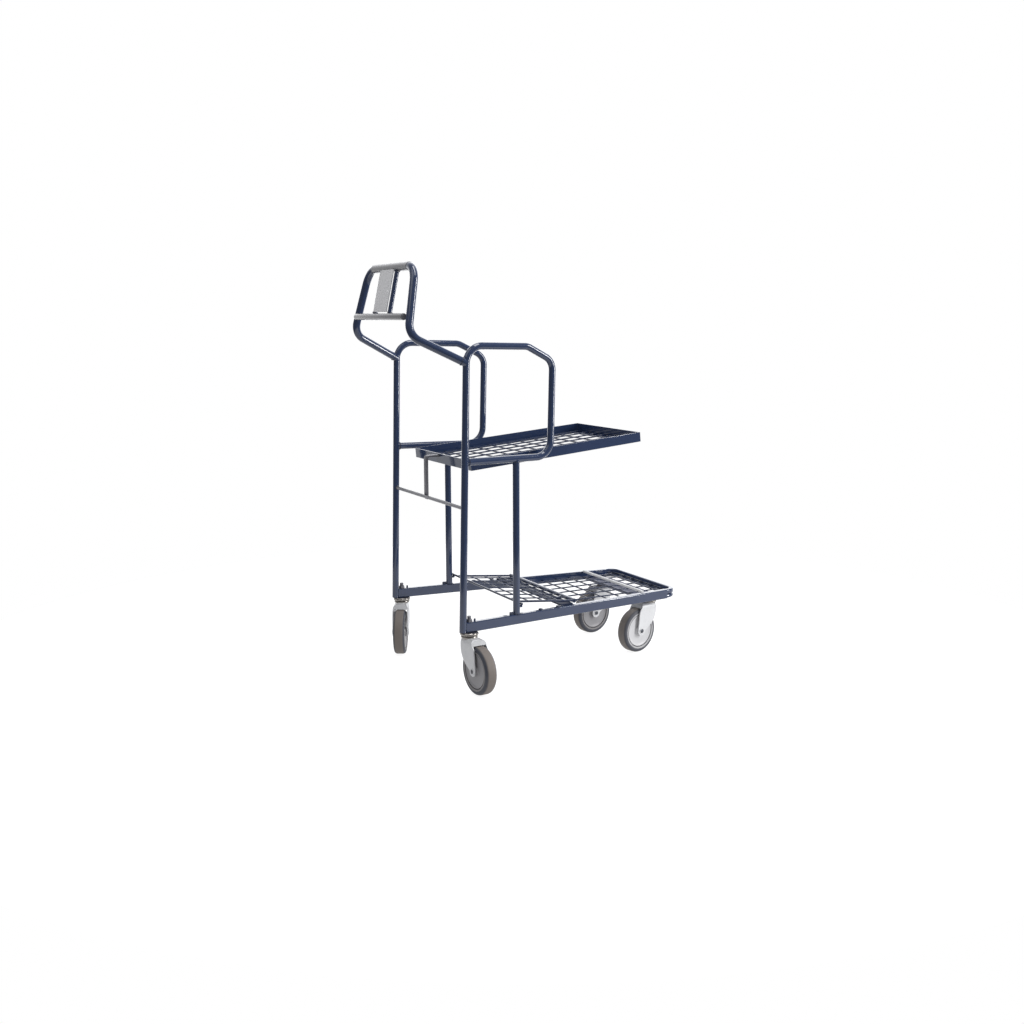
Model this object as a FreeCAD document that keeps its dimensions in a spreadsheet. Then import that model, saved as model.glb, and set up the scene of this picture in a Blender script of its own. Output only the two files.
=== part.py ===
import FreeCAD, Part
import math
import os
import Sketcher
from FreeCAD import Placement, Rotation, Vector

# A nesting two-tier trolley of welded tube: a tapered mesh deck on four casters,
# two side frames bent into loops, a raised mesh shelf, a push handle and a rear
# deck flap that lifts when another trolley is pushed in from behind.
# X runs forward, Y to the left, Z up from the floor. Lengths along the trolley
# are measured from the foot of the rear posts, which stand at post_x.

doc = FreeCAD.newDocument("trolley")
sheet = doc.addObject("Spreadsheet::Sheet", "dims")

sizes = {
    "post_x": -291.8,
    "post_half": 222.0,
    "taper": 5.302,
    "lean": 1.44,
    "tube_dia": 18.5,
    "tube_wall": 1.5,
    "post_foot": 0.6,
    "post_top": 680.0,
    "deck_low": 152.5,
    "beam_high": 26.0,
    "beam_wide": 16.0,
    "beam_wall": 1.5,
    "beam_back": 4.0,
    "beam_end": 679.0,
    "rim_dia": 12.9,
    "rim_wall": 1.5,
    "rim_front": 708.0,
    "rim_bend": 28.0,
    "rim_pitch": 13.0,
    "loop_top": 726.8,
    "loop_shoulder": 182.3,
    "loop_front": 261.3,
    "loop_drop": 690.2,
    "loop_low_front": 442.3,
    "loop_low_rear": 437.9,
    "loop_bend_rear": 45.0,
    "loop_bend_shoulder": 40.0,
    "loop_bend_front": 38.0,
    "upright_run": 164.0,
    "upright_top": 585.5,
    "stud_dia": 7.0,
    "stud_long": 16.0,
    "stud_level": 198.3,
    "rod_level": 472.3,
    "rod_dia": 9.0,
    "stay_run": 10.6,
    "stay_side": 21.0,
    "stay_wide": 19.5,
    "stay_thick": 3.5,
    "stay_low": 466.0,
    "stay_top": 583.0,
    "stay_reach": 50.4,
    "shelf_run": 48.9,
    "shelf_level": 586.7,
    "shelf_slope": 5.18,
    "shelf_long": 528.7,
    "shelf_half_rear": 175.5,
    "shelf_half_front": 165.4,
    "shelf_high": 26.5,
    "shelf_leg": 20.0,
    "shelf_thick": 2.5,
    "grid_x": 45.0,
    "grid_y": 48.0,
    "grid_wire": 4.0,
    "tab_rear": 172.0,
    "tab_front": 210.0,
    "tab_wide": 18.0,
    "tab_thick": 4.0,
    "band_run": 309.5,
    "band_wide": 39.5,
    "band_half": 187.0,
    "band_thick": 4.0,
    "hinge_run": 356.0,
    "hinge_level": 187.0,
    "hinge_pin_dia": 8.0,
    "hinge_fit": 0.05,
    "sleeve_dia": 12.0,
    "lug_dia": 11.0,
    "lug_thick": 5.0,
    "lug_side": 120.0,
    "flap_rod_run": 177.0,
    "flap_rod_level": 205.0,
    "flap_rod_dia": 6.0,
    "flap_rod_half": 214.0,
    "flap_side": 180.0,
    "bar_run": 596.0,
    "bar_dia": 8.0,
    "bar_level": 179.5,
    "bar_half": 158.2,
    "deck_mesh_run": 350.0,
    "deck_mesh_top": 166.0,
    "plate_rear": 602.0,
    "plate_corner": 640.0,
    "plate_front": 672.0,
    "plate_front_half": 136.0,
    "plate_thick": 4.0,
    "handle_dia": 21.0,
    "handle_wall": 2.0,
    "handle_foot_run": 13.0,
    "handle_foot_half": 220.0,
    "handle_foot_level": 838.0,
    "handle_bend_run": -121.0,
    "handle_bend_half": 183.2,
    "handle_bend_level": 905.0,
    "handle_top_run": -84.9,
    "handle_top_half": 151.3,
    "handle_top_level": 1074.0,
    "handle_bend_low": 42.0,
    "handle_bend_top": 50.0,
    "top_sleeve_half": 106.0,
    "top_sleeve_wall": 0.6,
    "grip_run": -122.0,
    "grip_level": 950.0,
    "grip_dia": 17.0,
    "grip_wall": 2.0,
    "grip_half": 161.0,
    "panel_bar_dia": 12.0,
    "panel_bar_side": 49.0,
    "panel_bar_back": 3.4,
    "panel_wide": 86.0,
    "panel_long": 108.0,
    "panel_thick": 2.0,
    "panel_level": 1013.0,
    "panel_hole_dia": 6.0,
    "panel_hole_gap": 56.0,
    "wheel_dia": 125.0,
    "tyre_wide": 32.0,
    "tyre_round": 8.0,
    "tyre_seat": 44.0,
    "hub_wide": 34.0,
    "hub_boss": 14.0,
    "spacer_dia": 12.0,
    "spacer_fit": 0.05,
    "axle_dia": 8.0,
    "axle_head": 15.0,
    "axle_head_high": 5.5,
    "axle_nut_high": 6.5,
    "fork_gap": 38.0,
    "fork_thick": 3.0,
    "fork_eye": 13.0,
    "fork_back": 60.0,
    "fork_front": 5.0,
    "rear_swivel_run": 19.0,
    "rear_swivel_half": 220.0,
    "front_swivel_run": 645.0,
    "front_swivel_half": 119.0,
    "swivel_trail": 50.0,
    "rear_turn_right": -85.5,
    "rear_turn_left": -119.0,
    "front_turn_right": -168.0,
    "front_turn_left": -171.0,
    "race_dia": 48.0,
    "race_low": 144.5,
    "crown_dia": 44.0,
    "crown_top": 143.9,
    "crown_low": 140.0,
    "stem_dia": 10.0,
    "stem_fit": 0.05,
    "stem_top": 194.0,
    "stem_head": 17.5,
    "stem_head_low": 129.0,
    "stem_head_top": 136.9,
    "stem_nut_high": 8.0,
    "rivet_high": 5.0,
}
for row, (alias, size) in enumerate(sizes.items(), start=1):
    sheet.set("A%d" % row, alias)
    sheet.set("B%d" % row, str(size))
    sheet.setAlias("B%d" % row, alias)
doc.recompute()

nodes = []
upward = Vector(0, 0, 1)


def size(alias):
    return float(sheet.get(alias))


def run(distance):
    return size("post_x") + distance


def number(formula):
    return float(sheet.evalExpression(formula))


def keep(item, label):
    item.Label = label
    nodes.append(item)
    return item


def at(x, y, z, turn=None):
    return Placement(Vector(x, y, z), turn or Rotation())


def spin(axis, angle):
    return Rotation(axis, angle)


def cylinder(name, radius, height, place):
    item = doc.addObject("Part::Cylinder", name)
    item.setExpression("Radius", radius)
    item.setExpression("Height", height)
    item.Placement = place
    return item


def block(name, length, width, height, place):
    item = doc.addObject("Part::Box", name)
    item.setExpression("Length", length)
    item.setExpression("Width", width)
    item.setExpression("Height", height)
    item.Placement = place
    return item


def hexagon(name, across, height, place):
    item = doc.addObject("Part::Prism", name)
    item.Polygon = 6
    item.setExpression("Circumradius", across)
    item.setExpression("Height", height)
    item.Placement = place
    return item


def fused(name, *pieces):
    item = doc.addObject("Part::MultiFuse", name)
    item.Shapes = list(pieces)
    item.Refine = True
    return item


def cut(name, base, *tools):
    item = doc.addObject("Part::Cut", name)
    item.Base = base
    item.Tool = tools[0] if len(tools) == 1 else fused(name + "_tools", *tools)
    return item


def group(name, *pieces):
    item = doc.addObject("Part::Compound", name)
    item.Links = list(pieces)
    return item


def between(start, end):
    return Placement(start, Rotation(upward, end - start))


# a path of straight runs joined by tangent arcs
def rounded_path(name, points, radii):
    edges = []
    start = points[0]
    for before, corner, after, radius in zip(points, points[1:], points[2:], radii):
        way_in = (corner - before).normalize()
        way_out = (after - corner).normalize()
        turn = way_in.getAngle(way_out)
        reach = radius * math.tan(turn / 2)
        inward = (way_out - way_in).normalize()
        middle = corner + inward * (radius / math.cos(turn / 2) - radius)
        first = corner - way_in * reach
        last = corner + way_out * reach
        edges.append(Part.makeLine(start, first))
        edges.append(Part.Arc(first, middle, last).toShape())
        start = last
    edges.append(Part.makeLine(start, points[-1]))
    path = doc.addObject("Part::Feature", name)
    path.Shape = Part.Wire(edges)
    return path


# a round bar bent along a path
def bent_bar(name, path, radius):
    first = path.Shape.Edges[0]
    start = first.valueAt(first.FirstParameter)
    heading = first.tangentAt(first.FirstParameter)
    ring = doc.addObject("Part::Circle", name + "_ring")
    ring.setExpression("Radius", radius)
    ring.Placement = Placement(start, Rotation(upward, heading))
    sweep = doc.addObject("Part::Sweep", name)
    sweep.Sections = [ring]
    sweep.Spine = (path, ["Edge%d" % (i + 1) for i in range(len(path.Shape.Edges))])
    sweep.Solid = True
    sweep.Frenet = False
    return sweep


def new_body(name):
    return doc.addObject("PartDesign::Body", name)


def sketch_on(body, plane, name):
    sketch = body.newObject("Sketcher::SketchObject", name)
    for feature in body.Origin.OriginFeatures:
        if getattr(feature, "Role", "") == plane:
            sketch.AttachmentSupport = (feature, [""])
    sketch.MapMode = "FlatFace"
    return sketch


def pin_point(sketch, line, spot, across, along):
    for kind, formula in (("DistanceX", across), ("DistanceY", along)):
        place = sketch.addConstraint(Sketcher.Constraint(kind, -1, 1, line, spot, number(formula)))
        sketch.setExpression("Constraints[%d]" % place, formula)


# a closed outline whose corners are formulas of the sheet
def outline(sketch, corners):
    spots = [Vector(number(x), number(y), 0) for x, y in corners]
    first = sketch.GeometryCount
    count = len(spots)
    for i in range(count):
        sketch.addGeometry(Part.LineSegment(spots[i], spots[(i + 1) % count]), False)
    for i in range(count):
        sketch.addConstraint(Sketcher.Constraint("Coincident", first + i, 2, first + (i + 1) % count, 1))
    for i, (x, y) in enumerate(corners):
        pin_point(sketch, first + i, 1, x, y)


def hole_in(sketch, across, along, radius):
    centre = Vector(number(across), number(along), 0)
    ring = sketch.addGeometry(Part.Circle(centre, upward, number(radius)), False)
    pin_point(sketch, ring, 3, across, along)
    place = sketch.addConstraint(Sketcher.Constraint("Radius", ring, number(radius)))
    sketch.setExpression("Constraints[%d]" % place, radius)


def pad(body, sketch, length):
    feature = body.newObject("PartDesign::Pad", body.Name + "_pad")
    feature.Profile = sketch
    feature.setExpression("Length", length)
    return feature


def turned(name, corners):
    body = new_body(name)
    sketch = sketch_on(body, "XY_Plane", name + "_profile")
    outline(sketch, corners)
    feature = body.newObject("PartDesign::Revolution", name + "_turn")
    feature.Profile = sketch
    feature.ReferenceAxis = (sketch, ["V_Axis"])
    feature.Angle = 360
    return body


# keeps the part of a polygon on one side of a line, in the plane
def clip(points, start, end):
    kept = []
    normal = Vector(-(end - start).y, (end - start).x, 0)
    for here, after in zip(points, points[1:] + points[:1]):
        a = normal.dot(here - start)
        b = normal.dot(after - start)
        if a >= 0:
            kept.append(here)
        if a * b < 0:
            kept.append(here + (after - here) * (a / (a - b)))
    return kept


def wire_of(points):
    return Part.makePolygon(points + points[:1])


# a welded wire grid as one holed sheet, its top at z = 0; the border and the
# grid lines are one wire wide
def grid_sheet(name, border, columns, rows, wire, place):
    inner = [p for p in border]
    half = wire / 2
    count = len(border)
    for i in range(count):
        start = border[i]
        end = border[(i + 1) % count]
        inward = Vector(-(end - start).y, (end - start).x, 0).normalize() * wire
        inner = clip(inner, start + inward, end + inward)
    wires = [wire_of(border)]
    for left, right in zip(columns, columns[1:]):
        for low, high in zip(rows, rows[1:]):
            cell = [Vector(left + half, low + half, 0), Vector(right - half, low + half, 0),
                    Vector(right - half, high - half, 0), Vector(left + half, high - half, 0)]
            for i in range(len(inner)):
                if len(cell) > 2:
                    cell = clip(cell, inner[i], inner[(i + 1) % len(inner)])
            if len(cell) < 3:
                continue
            if Part.Face(wire_of(cell)).Area < 12:
                continue
            wires.append(wire_of(cell))
    face = Part.Face(wires)
    face.validate()
    item = doc.addObject("Part::Feature", name)
    item.Shape = face.extrude(Vector(0, 0, -wire))
    item.Placement = place
    return item


def steps(first, step, count):
    return [first + step * i for i in range(count)]


sides = (("right", -1), ("left", 1))
beam_top = size("deck_low") + size("beam_high")


def half_at(distance):
    return size("post_half") - distance * math.tan(math.radians(size("taper")))


def flat_side(sign):
    return at(run(0), sign * size("post_half"), size("deck_low"), spin(upward, -sign * size("taper")))


def leaning_side(sign):
    tilt = spin(upward, -sign * size("taper")).multiply(spin(Vector(0, 1, 0), size("lean")))
    return at(run(0), sign * size("post_half"), size("deck_low"), tilt)


# side frames: post and loop lean forward together, the middle upright is plumb
posts = {}
loops = {}
for side, sign in sides:
    frame = leaning_side(sign)
    foot = frame.multiply(at(0, 0, size("post_foot")))
    posts[side] = cylinder(side + "_post_bar", "dims.tube_dia / 2", "dims.post_top - dims.post_foot", foot)
    bore = cylinder(side + "_post_bore", "dims.tube_dia / 2 - dims.tube_wall", "dims.post_top - dims.post_foot", foot)
    keep(cut(side + "_post_tube", posts[side], bore), side + "_post")

    corners = [
        Vector(0, 0, size("post_top")),
        Vector(0, 0, size("loop_top")),
        Vector(size("loop_shoulder"), 0, size("loop_top")),
        Vector(size("loop_front"), 0, size("loop_drop")),
        Vector(size("loop_front"), 0, size("loop_low_front")),
        Vector(3, 0, size("loop_low_rear")),
    ]
    radii = [size("loop_bend_rear"), size("loop_bend_shoulder"), size("loop_bend_front"), size("loop_bend_rear")]
    path = rounded_path(side + "_loop_path", [frame.multVec(p) for p in corners], radii)
    loops[side] = bent_bar(side + "_loop_bar", path, "dims.tube_dia / 2")
    bore = bent_bar(side + "_loop_bore", path, "dims.tube_dia / 2 - dims.tube_wall")
    keep(cut(side + "_loop_tube", loops[side], bore, posts[side]), side + "_loop")

studs = []
uprights = {}
for side, sign in sides:
    spot = at(run(size("upright_run")), sign * half_at(size("upright_run")), beam_top)
    tall = "dims.upright_top - dims.deck_low - dims.beam_high"
    uprights[side] = cylinder(side + "_upright_bar", "dims.tube_dia / 2", tall, spot)
    bore = cylinder(side + "_upright_bore", "dims.tube_dia / 2 - dims.tube_wall", tall, spot)
    keep(cut(side + "_upright_tube", uprights[side], bore, loops[side]), side + "_upright")
    start = at(run(size("upright_run")), sign * half_at(size("upright_run")), size("stud_level"),
               spin(Vector(0, 1, 0), 90))
    stud = cylinder(side + "_stud_bar", "dims.stud_dia / 2", "dims.stud_long", start)
    studs.append(cut(side + "_stud", stud, uprights[side]))
keep(group("stud_pair", *studs), "flap_studs")

# deck beams: box tubes from the posts to the front bow
for side, sign in sides:
    place = flat_side(sign).multiply(at(size("beam_back"), -size("beam_wide") / 2, 0))
    hollow = flat_side(sign).multiply(
        at(0, -size("beam_wide") / 2 + size("beam_wall"), size("beam_wall")))
    beam = block(side + "_beam_box", "dims.beam_end - dims.beam_back", "dims.beam_wide", "dims.beam_high", place)
    inside = block(side + "_beam_hollow", "dims.beam_end + 10", "dims.beam_wide - 2 * dims.beam_wall",
                   "dims.beam_high - 2 * dims.beam_wall", hollow)
    stem = cylinder(side + "_beam_stem_hole", "dims.stem_dia / 2 + 0.2", "60",
                    at(run(size("rear_swivel_run")), sign * size("rear_swivel_half"), size("deck_low") - 10))
    keep(cut(side + "_beam_tube", beam, inside, posts[side], stem), side + "_beam")

# front bow: an upper lip and a lower bumper, bent alike, one above the other
end = size("beam_end") * math.cos(math.radians(size("taper")))
for label, level in (("front_rim", beam_top - size("rim_pitch") / 2),
                     ("front_bumper", beam_top - 1.5 * size("rim_pitch"))):
    corners = [
        Vector(run(end), -half_at(end), level),
        Vector(run(size("rim_front")), -half_at(size("rim_front")), level),
        Vector(run(size("rim_front")), half_at(size("rim_front")), level),
        Vector(run(end), half_at(end), level),
    ]
    path = rounded_path(label + "_path", corners, [size("rim_bend")] * 2)
    solid = bent_bar(label + "_bar", path, "dims.rim_dia / 2")
    bore = bent_bar(label + "_bore", path, "dims.rim_dia / 2 - dims.rim_wall")
    keep(cut(label + "_tube", solid, bore), label)

# flat band across the beams, with the lugs and the pin of the flap's hinge
keep(block("hinge_band_plate", "dims.band_wide", "2 * dims.band_half", "dims.band_thick",
           at(run(size("band_run")), -size("band_half"), beam_top)), "hinge_band")
across = spin(Vector(1, 0, 0), -90)
pin = cylinder("hinge_pin_bar", "dims.hinge_pin_dia / 2", "2 * dims.flap_side + 6",
               at(run(size("hinge_run")), -size("flap_side") - 3, size("hinge_level"), across))
keep(pin, "hinge_pin")
lugs = []
for side, sign in sides:
    body = new_body(side + "_lug_foot")
    sketch = sketch_on(body, "XZ_Plane", side + "_lug_profile")
    foot_level = "dims.deck_low + dims.beam_high + dims.band_thick - dims.hinge_level"
    outline(sketch, [
        ("dims.band_run + dims.band_wide - dims.hinge_run - 1", foot_level),
        ("2", foot_level + " + 0.1"),
        ("-3.2", "4.4"),
        ("dims.band_run + dims.band_wide - dims.hinge_run - 18", foot_level),
    ])
    pad(body, sketch, "dims.lug_thick")
    near_face = sign * size("lug_side") + size("lug_thick") / 2
    body.Placement = at(run(size("hinge_run")), near_face, size("hinge_level"))
    eye = cylinder(side + "_lug_eye", "dims.lug_dia / 2", "dims.lug_thick",
                   at(run(size("hinge_run")), near_face - size("lug_thick"), size("hinge_level"), across))
    lugs.append(cut(side + "_lug", fused(side + "_lug_whole", body, eye), pin))
keep(group("lug_pair", *lugs), "hinge_lugs")

# the flap: three sleeves on the pin, side wires, a grid and the rear rod
rise = size("flap_rod_level") - size("hinge_level")
reach = size("hinge_run") - size("flap_rod_run")
flap_tilt = math.degrees(math.atan2(rise, reach))
flap_long = math.hypot(rise, reach)
flap_place = at(run(size("hinge_run")), 0, size("hinge_level"), spin(Vector(0, 1, 0), flap_tilt))
sleeve_spans = (
    ("right", "-dims.flap_side - 3", "dims.flap_side + 3 - dims.lug_side - dims.lug_thick / 2 - 0.5"),
    ("middle", "-dims.lug_side + dims.lug_thick / 2 + 0.5", "2 * dims.lug_side - dims.lug_thick - 1"),
    ("left", "dims.lug_side + dims.lug_thick / 2 + 0.5",
     "dims.flap_side + 3 - dims.lug_side - dims.lug_thick / 2 - 0.5"),
)
sleeves = []
barrels = []
for label, start, length in sleeve_spans:
    place = at(run(size("hinge_run")), number(start), size("hinge_level"), across)
    barrel = cylinder(label + "_barrel", "dims.sleeve_dia / 2", length, place)
    bore = cylinder(label + "_barrel_bore", "dims.hinge_pin_dia / 2 + dims.hinge_fit", length, place)
    barrels.append(barrel)
    sleeves.append(cut(label + "_sleeve", barrel, bore))
keep(group("sleeve_set", *sleeves), "flap_sleeves")
rear_rod = cylinder("flap_rod_bar", "dims.flap_rod_dia / 2", "2 * dims.flap_rod_half",
                    flap_place.multiply(at(-flap_long, -size("flap_rod_half"), 0, across)))
keep(rear_rod, "flap_rod")
runners = []
for side, sign in sides:
    place = flap_place.multiply(at(-flap_long, sign * size("flap_side"), 0, spin(Vector(0, 1, 0), 90)))
    wire = cylinder(side + "_flap_wire", "dims.flap_rod_dia / 2", "%.4f" % flap_long, place)
    runners.append(wire)
keep(group("flap_wire_pair", *[cut(w.Name + "_cut", w, rear_rod, *barrels) for w in runners]), "flap_wires")
half = size("flap_side")
border = [Vector(-flap_long, -half, 0), Vector(-6.2, -half, 0), Vector(-6.2, half, 0), Vector(-flap_long, half, 0)]
columns = [-flap_long] + steps(-flap_long + 43, size("grid_x"), 3) + [0]
rows = [-half - 2] + steps(-3 * size("grid_y"), size("grid_y"), 7) + [half + 2]
flap_grid = grid_sheet("flap_grid_sheet", border, columns, rows, size("grid_wire"),
                       flap_place.multiply(at(0, 0, size("grid_wire") / 2)))
notches = []
for side, sign in sides:
    corner = flap_place.multiply(at(-30, sign * size("lug_side") - size("lug_thick") / 2 - 3, -10))
    notches.append(block(side + "_lug_notch", "30", "dims.lug_thick + 6", "20", corner))
keep(cut("flap_grid_cut", flap_grid, rear_rod, *runners, *barrels, *notches), "flap_grid")

# fixed deck grid and, in front, the light bar, both between the beams
inner = size("beam_wide") / 2 / math.cos(math.radians(size("taper")))
rear = size("deck_mesh_run")
front = size("rim_front") - 8
border = [Vector(rear, -half_at(rear) + inner, 0), Vector(front, -half_at(front) + inner + 20, 0),
          Vector(front, half_at(front) - inner - 20, 0), Vector(rear, half_at(rear) - inner, 0)]
corner = front - 36
border = [border[0], Vector(corner, -half_at(corner) + inner, 0), border[1], border[2],
          Vector(corner, half_at(corner) - inner, 0), border[3]]
columns = [rear - 2] + steps(366, size("grid_x"), 8) + [front + 2]
rows = steps(-4 * size("grid_y"), size("grid_y"), 9)
keep(grid_sheet("deck_grid_sheet", border, columns, rows, size("grid_wire"),
                at(run(0), 0, size("deck_mesh_top"))), "deck_grid")
keep(cylinder("deck_bar_rod", "dims.bar_dia / 2", "2 * dims.bar_half",
              at(run(size("bar_run")), -size("bar_half"), size("bar_level"), across)), "deck_bar")

# shelf: four angle irons round a wire grid, sloping up towards the front
shelf = at(run(size("shelf_run")), 0, size("shelf_level"), spin(Vector(0, 1, 0), -size("shelf_slope")))
narrowing = math.degrees(math.atan((size("shelf_half_rear") - size("shelf_half_front")) / size("shelf_long")))


def angle_iron(name, length, mirrored):
    body = new_body(name)
    sketch = sketch_on(body, "YZ_Plane", name + "_profile")
    flip = "-" if mirrored else ""
    outline(sketch, [
        ("0", "0"),
        ("0", "-dims.shelf_high"),
        (flip + "dims.shelf_leg", "-dims.shelf_high"),
        (flip + "dims.shelf_leg", "-dims.shelf_high + dims.shelf_thick"),
        (flip + "dims.shelf_thick", "-dims.shelf_high + dims.shelf_thick"),
        (flip + "dims.shelf_thick", "0"),
    ])
    pad(body, sketch, length)
    return body


rim_sides = {}
for side, sign in sides:
    iron = angle_iron(side + "_shelf_iron", "dims.shelf_long / cos(%.5f deg)" % narrowing, sign > 0)
    iron.Placement = shelf.multiply(at(0, sign * size("shelf_half_rear"), 0, spin(upward, -sign * narrowing)))
    rim_sides[side] = keep(iron, "shelf_rim_" + side)
rear_iron = angle_iron("rear_shelf_iron", "2 * dims.shelf_half_rear - 2", True)
rear_iron.Placement = shelf.multiply(at(0, -size("shelf_half_rear") + 1, 0, spin(upward, 90)))
front_iron = angle_iron("front_shelf_iron", "2 * dims.shelf_half_front", False)
front_iron.Placement = shelf.multiply(at(size("shelf_long"), -size("shelf_half_front"), 0, spin(upward, 90)))
rim_rear = keep(cut("rear_rim_cut", rear_iron, *rim_sides.values()), "shelf_rim_rear")
keep(cut("front_rim_cut", front_iron, *rim_sides.values()), "shelf_rim_front")
thick = size("shelf_thick")
long = size("shelf_long")
edge_rear = size("shelf_half_rear") - thick - 0.2
edge_front = size("shelf_half_front") - thick - 0.2
border = [Vector(thick, -edge_rear, 0), Vector(long - thick, -edge_front, 0),
          Vector(long - thick, edge_front, 0), Vector(thick, edge_rear, 0)]
columns = [thick] + steps(size("grid_x"), size("grid_x"), 11) + [long - thick]
rows = [-190] + steps(-3 * size("grid_y"), size("grid_y"), 7) + [190]
grid_level = -size("shelf_high") + thick + size("grid_wire")
keep(grid_sheet("shelf_grid_sheet", border, columns, rows, size("grid_wire"),
                shelf.multiply(at(0, 0, grid_level))), "shelf_grid")

# tabs from the loops' lower bars to the shelf, and the stay from the cross rod
tabs = []
for side, sign in sides:
    for distance in (size("tab_rear"), size("tab_front")):
        on_bar = leaning_side(sign).multVec(Vector(distance, 0, size("loop_low_rear") + 3))
        inward = (distance - size("shelf_run")) / size("shelf_long")
        rim_y = size("shelf_half_rear") + inward * (size("shelf_half_front") - size("shelf_half_rear")) - 1.0
        low_y = min(sign * rim_y, on_bar.y)
        tab = block("%s_tab_%d" % (side, distance), "dims.tab_wide", "%.4f" % abs(on_bar.y - sign * rim_y),
                    "dims.tab_thick", at(on_bar.x - size("tab_wide") / 2, low_y, on_bar.z - size("tab_thick") / 2))
        tabs.append(cut(tab.Name + "_cut", tab, loops[side], rim_sides[side]))
keep(group("tab_set", *tabs), "shelf_tabs")

rod_run = (size("rod_level") - size("deck_low")) * math.tan(math.radians(size("lean")))
rod = cylinder("cross_rod_bar", "dims.rod_dia / 2", "2 * (dims.post_half - 3)",
               at(run(rod_run), -size("post_half") + 3, size("rod_level"), across))
keep(cut("cross_rod_cut", rod, *posts.values()), "cross_rod")
stay = new_body("stay_strap")
sketch = sketch_on(stay, "XZ_Plane", "stay_profile")
outline(sketch, [
    ("dims.stay_run", "dims.stay_low"),
    ("dims.stay_run + dims.stay_thick", "dims.stay_low"),
    ("dims.stay_run + dims.stay_thick", "dims.stay_top - dims.stay_thick"),
    ("dims.stay_reach", "dims.stay_top - dims.stay_thick"),
    ("dims.stay_reach", "dims.stay_top"),
    ("dims.stay_run", "dims.stay_top"),
])
pad(stay, sketch, "dims.stay_wide")
stay.Placement = at(run(0), size("stay_side") + size("stay_wide") / 2, 0)
keep(cut("stay_cut", stay, rod, rim_rear), "shelf_stay")

# handle: one bent tube from post to post, with a grip bar and an information plate
foot = Vector(size("handle_foot_run"), size("handle_foot_half"), size("handle_foot_level"))
low = Vector(size("handle_bend_run"), size("handle_bend_half"), size("handle_bend_level"))
top = Vector(size("handle_top_run"), size("handle_top_half"), size("handle_top_level"))
corners = [Vector(run(p.x), -p.y, p.z) for p in (foot, low, top)]
corners += [Vector(run(p.x), p.y, p.z) for p in (top, low, foot)]
radii = [size("handle_bend_low"), size("handle_bend_top"), size("handle_bend_top"), size("handle_bend_low")]
path = rounded_path("handle_path", corners, radii)
handle = bent_bar("handle_bar", path, "dims.handle_dia / 2")
bore = bent_bar("handle_bore", path, "dims.handle_dia / 2 - dims.handle_wall")
keep(cut("handle_cut", handle, bore, *posts.values(), *loops.values()), "handle_tube")
place = at(run(size("handle_top_run")), -size("top_sleeve_half"), size("handle_top_level"), across)
wrap = cylinder("top_sleeve_bar", "dims.handle_dia / 2 + dims.top_sleeve_wall", "2 * dims.top_sleeve_half", place)
bore = cylinder("top_sleeve_bore", "dims.handle_dia / 2", "2 * dims.top_sleeve_half", place)
keep(cut("top_sleeve_cut", wrap, bore), "top_sleeve")
place = at(run(size("grip_run")), -size("grip_half"), size("grip_level"), across)
grip = cylinder("grip_rod", "dims.grip_dia / 2", "2 * dims.grip_half", place)
bore = cylinder("grip_bore", "dims.grip_dia / 2 - dims.grip_wall", "2 * dims.grip_half", place)
keep(cut("grip_cut", grip, bore, handle), "grip_bar")
leg_slope = (top.x - low.x) / (top.z - low.z)
leg_lean = math.degrees(math.atan(leg_slope))


def leg_run(level):
    return low.x + leg_slope * (level - low.z)


panel_bars = []
for side, sign in sides:
    back = size("panel_bar_back")
    start = Vector(run(leg_run(size("grip_level")) - back), sign * size("panel_bar_side"), size("grip_level"))
    stop = Vector(run(leg_run(size("handle_top_level")) - back), sign * size("panel_bar_side"), size("handle_top_level"))
    strut = cylinder(side + "_panel_strut", "dims.panel_bar_dia / 2", "%.4f" % (stop - start).Length,
                     between(start, stop))
    panel_bars.append(cut(side + "_panel_bar", strut, grip, wrap))
keep(group("panel_bar_pair", *panel_bars), "plate_bars")
panel = new_body("panel_sheet")
sketch = sketch_on(panel, "YZ_Plane", "panel_profile")
outline(sketch, [
    ("-dims.panel_wide / 2", "-dims.panel_long / 2"),
    ("dims.panel_wide / 2", "-dims.panel_long / 2"),
    ("dims.panel_wide / 2", "dims.panel_long / 2"),
    ("-dims.panel_wide / 2", "dims.panel_long / 2"),
])
hole_in(sketch, "-dims.panel_hole_gap / 2", "0", "dims.panel_hole_dia / 2")
hole_in(sketch, "dims.panel_hole_gap / 2", "0", "dims.panel_hole_dia / 2")
pad(panel, sketch, "dims.panel_thick")
behind = size("panel_bar_back") * math.cos(math.radians(leg_lean)) + size("panel_bar_dia") / 2 + size("panel_thick")
lean_turn = spin(Vector(0, 1, 0), leg_lean)
on_leg = Vector(run(leg_run(size("panel_level"))), 0, size("panel_level"))
panel.Placement = Placement(on_leg + lean_turn.multVec(Vector(-behind, 0, 0)), lean_turn)
keep(panel, "info_plate")

# casters: wheel of hub and tyre on a spacer tube, in a pressed fork
wheel_radius = size("wheel_dia") / 2


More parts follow.
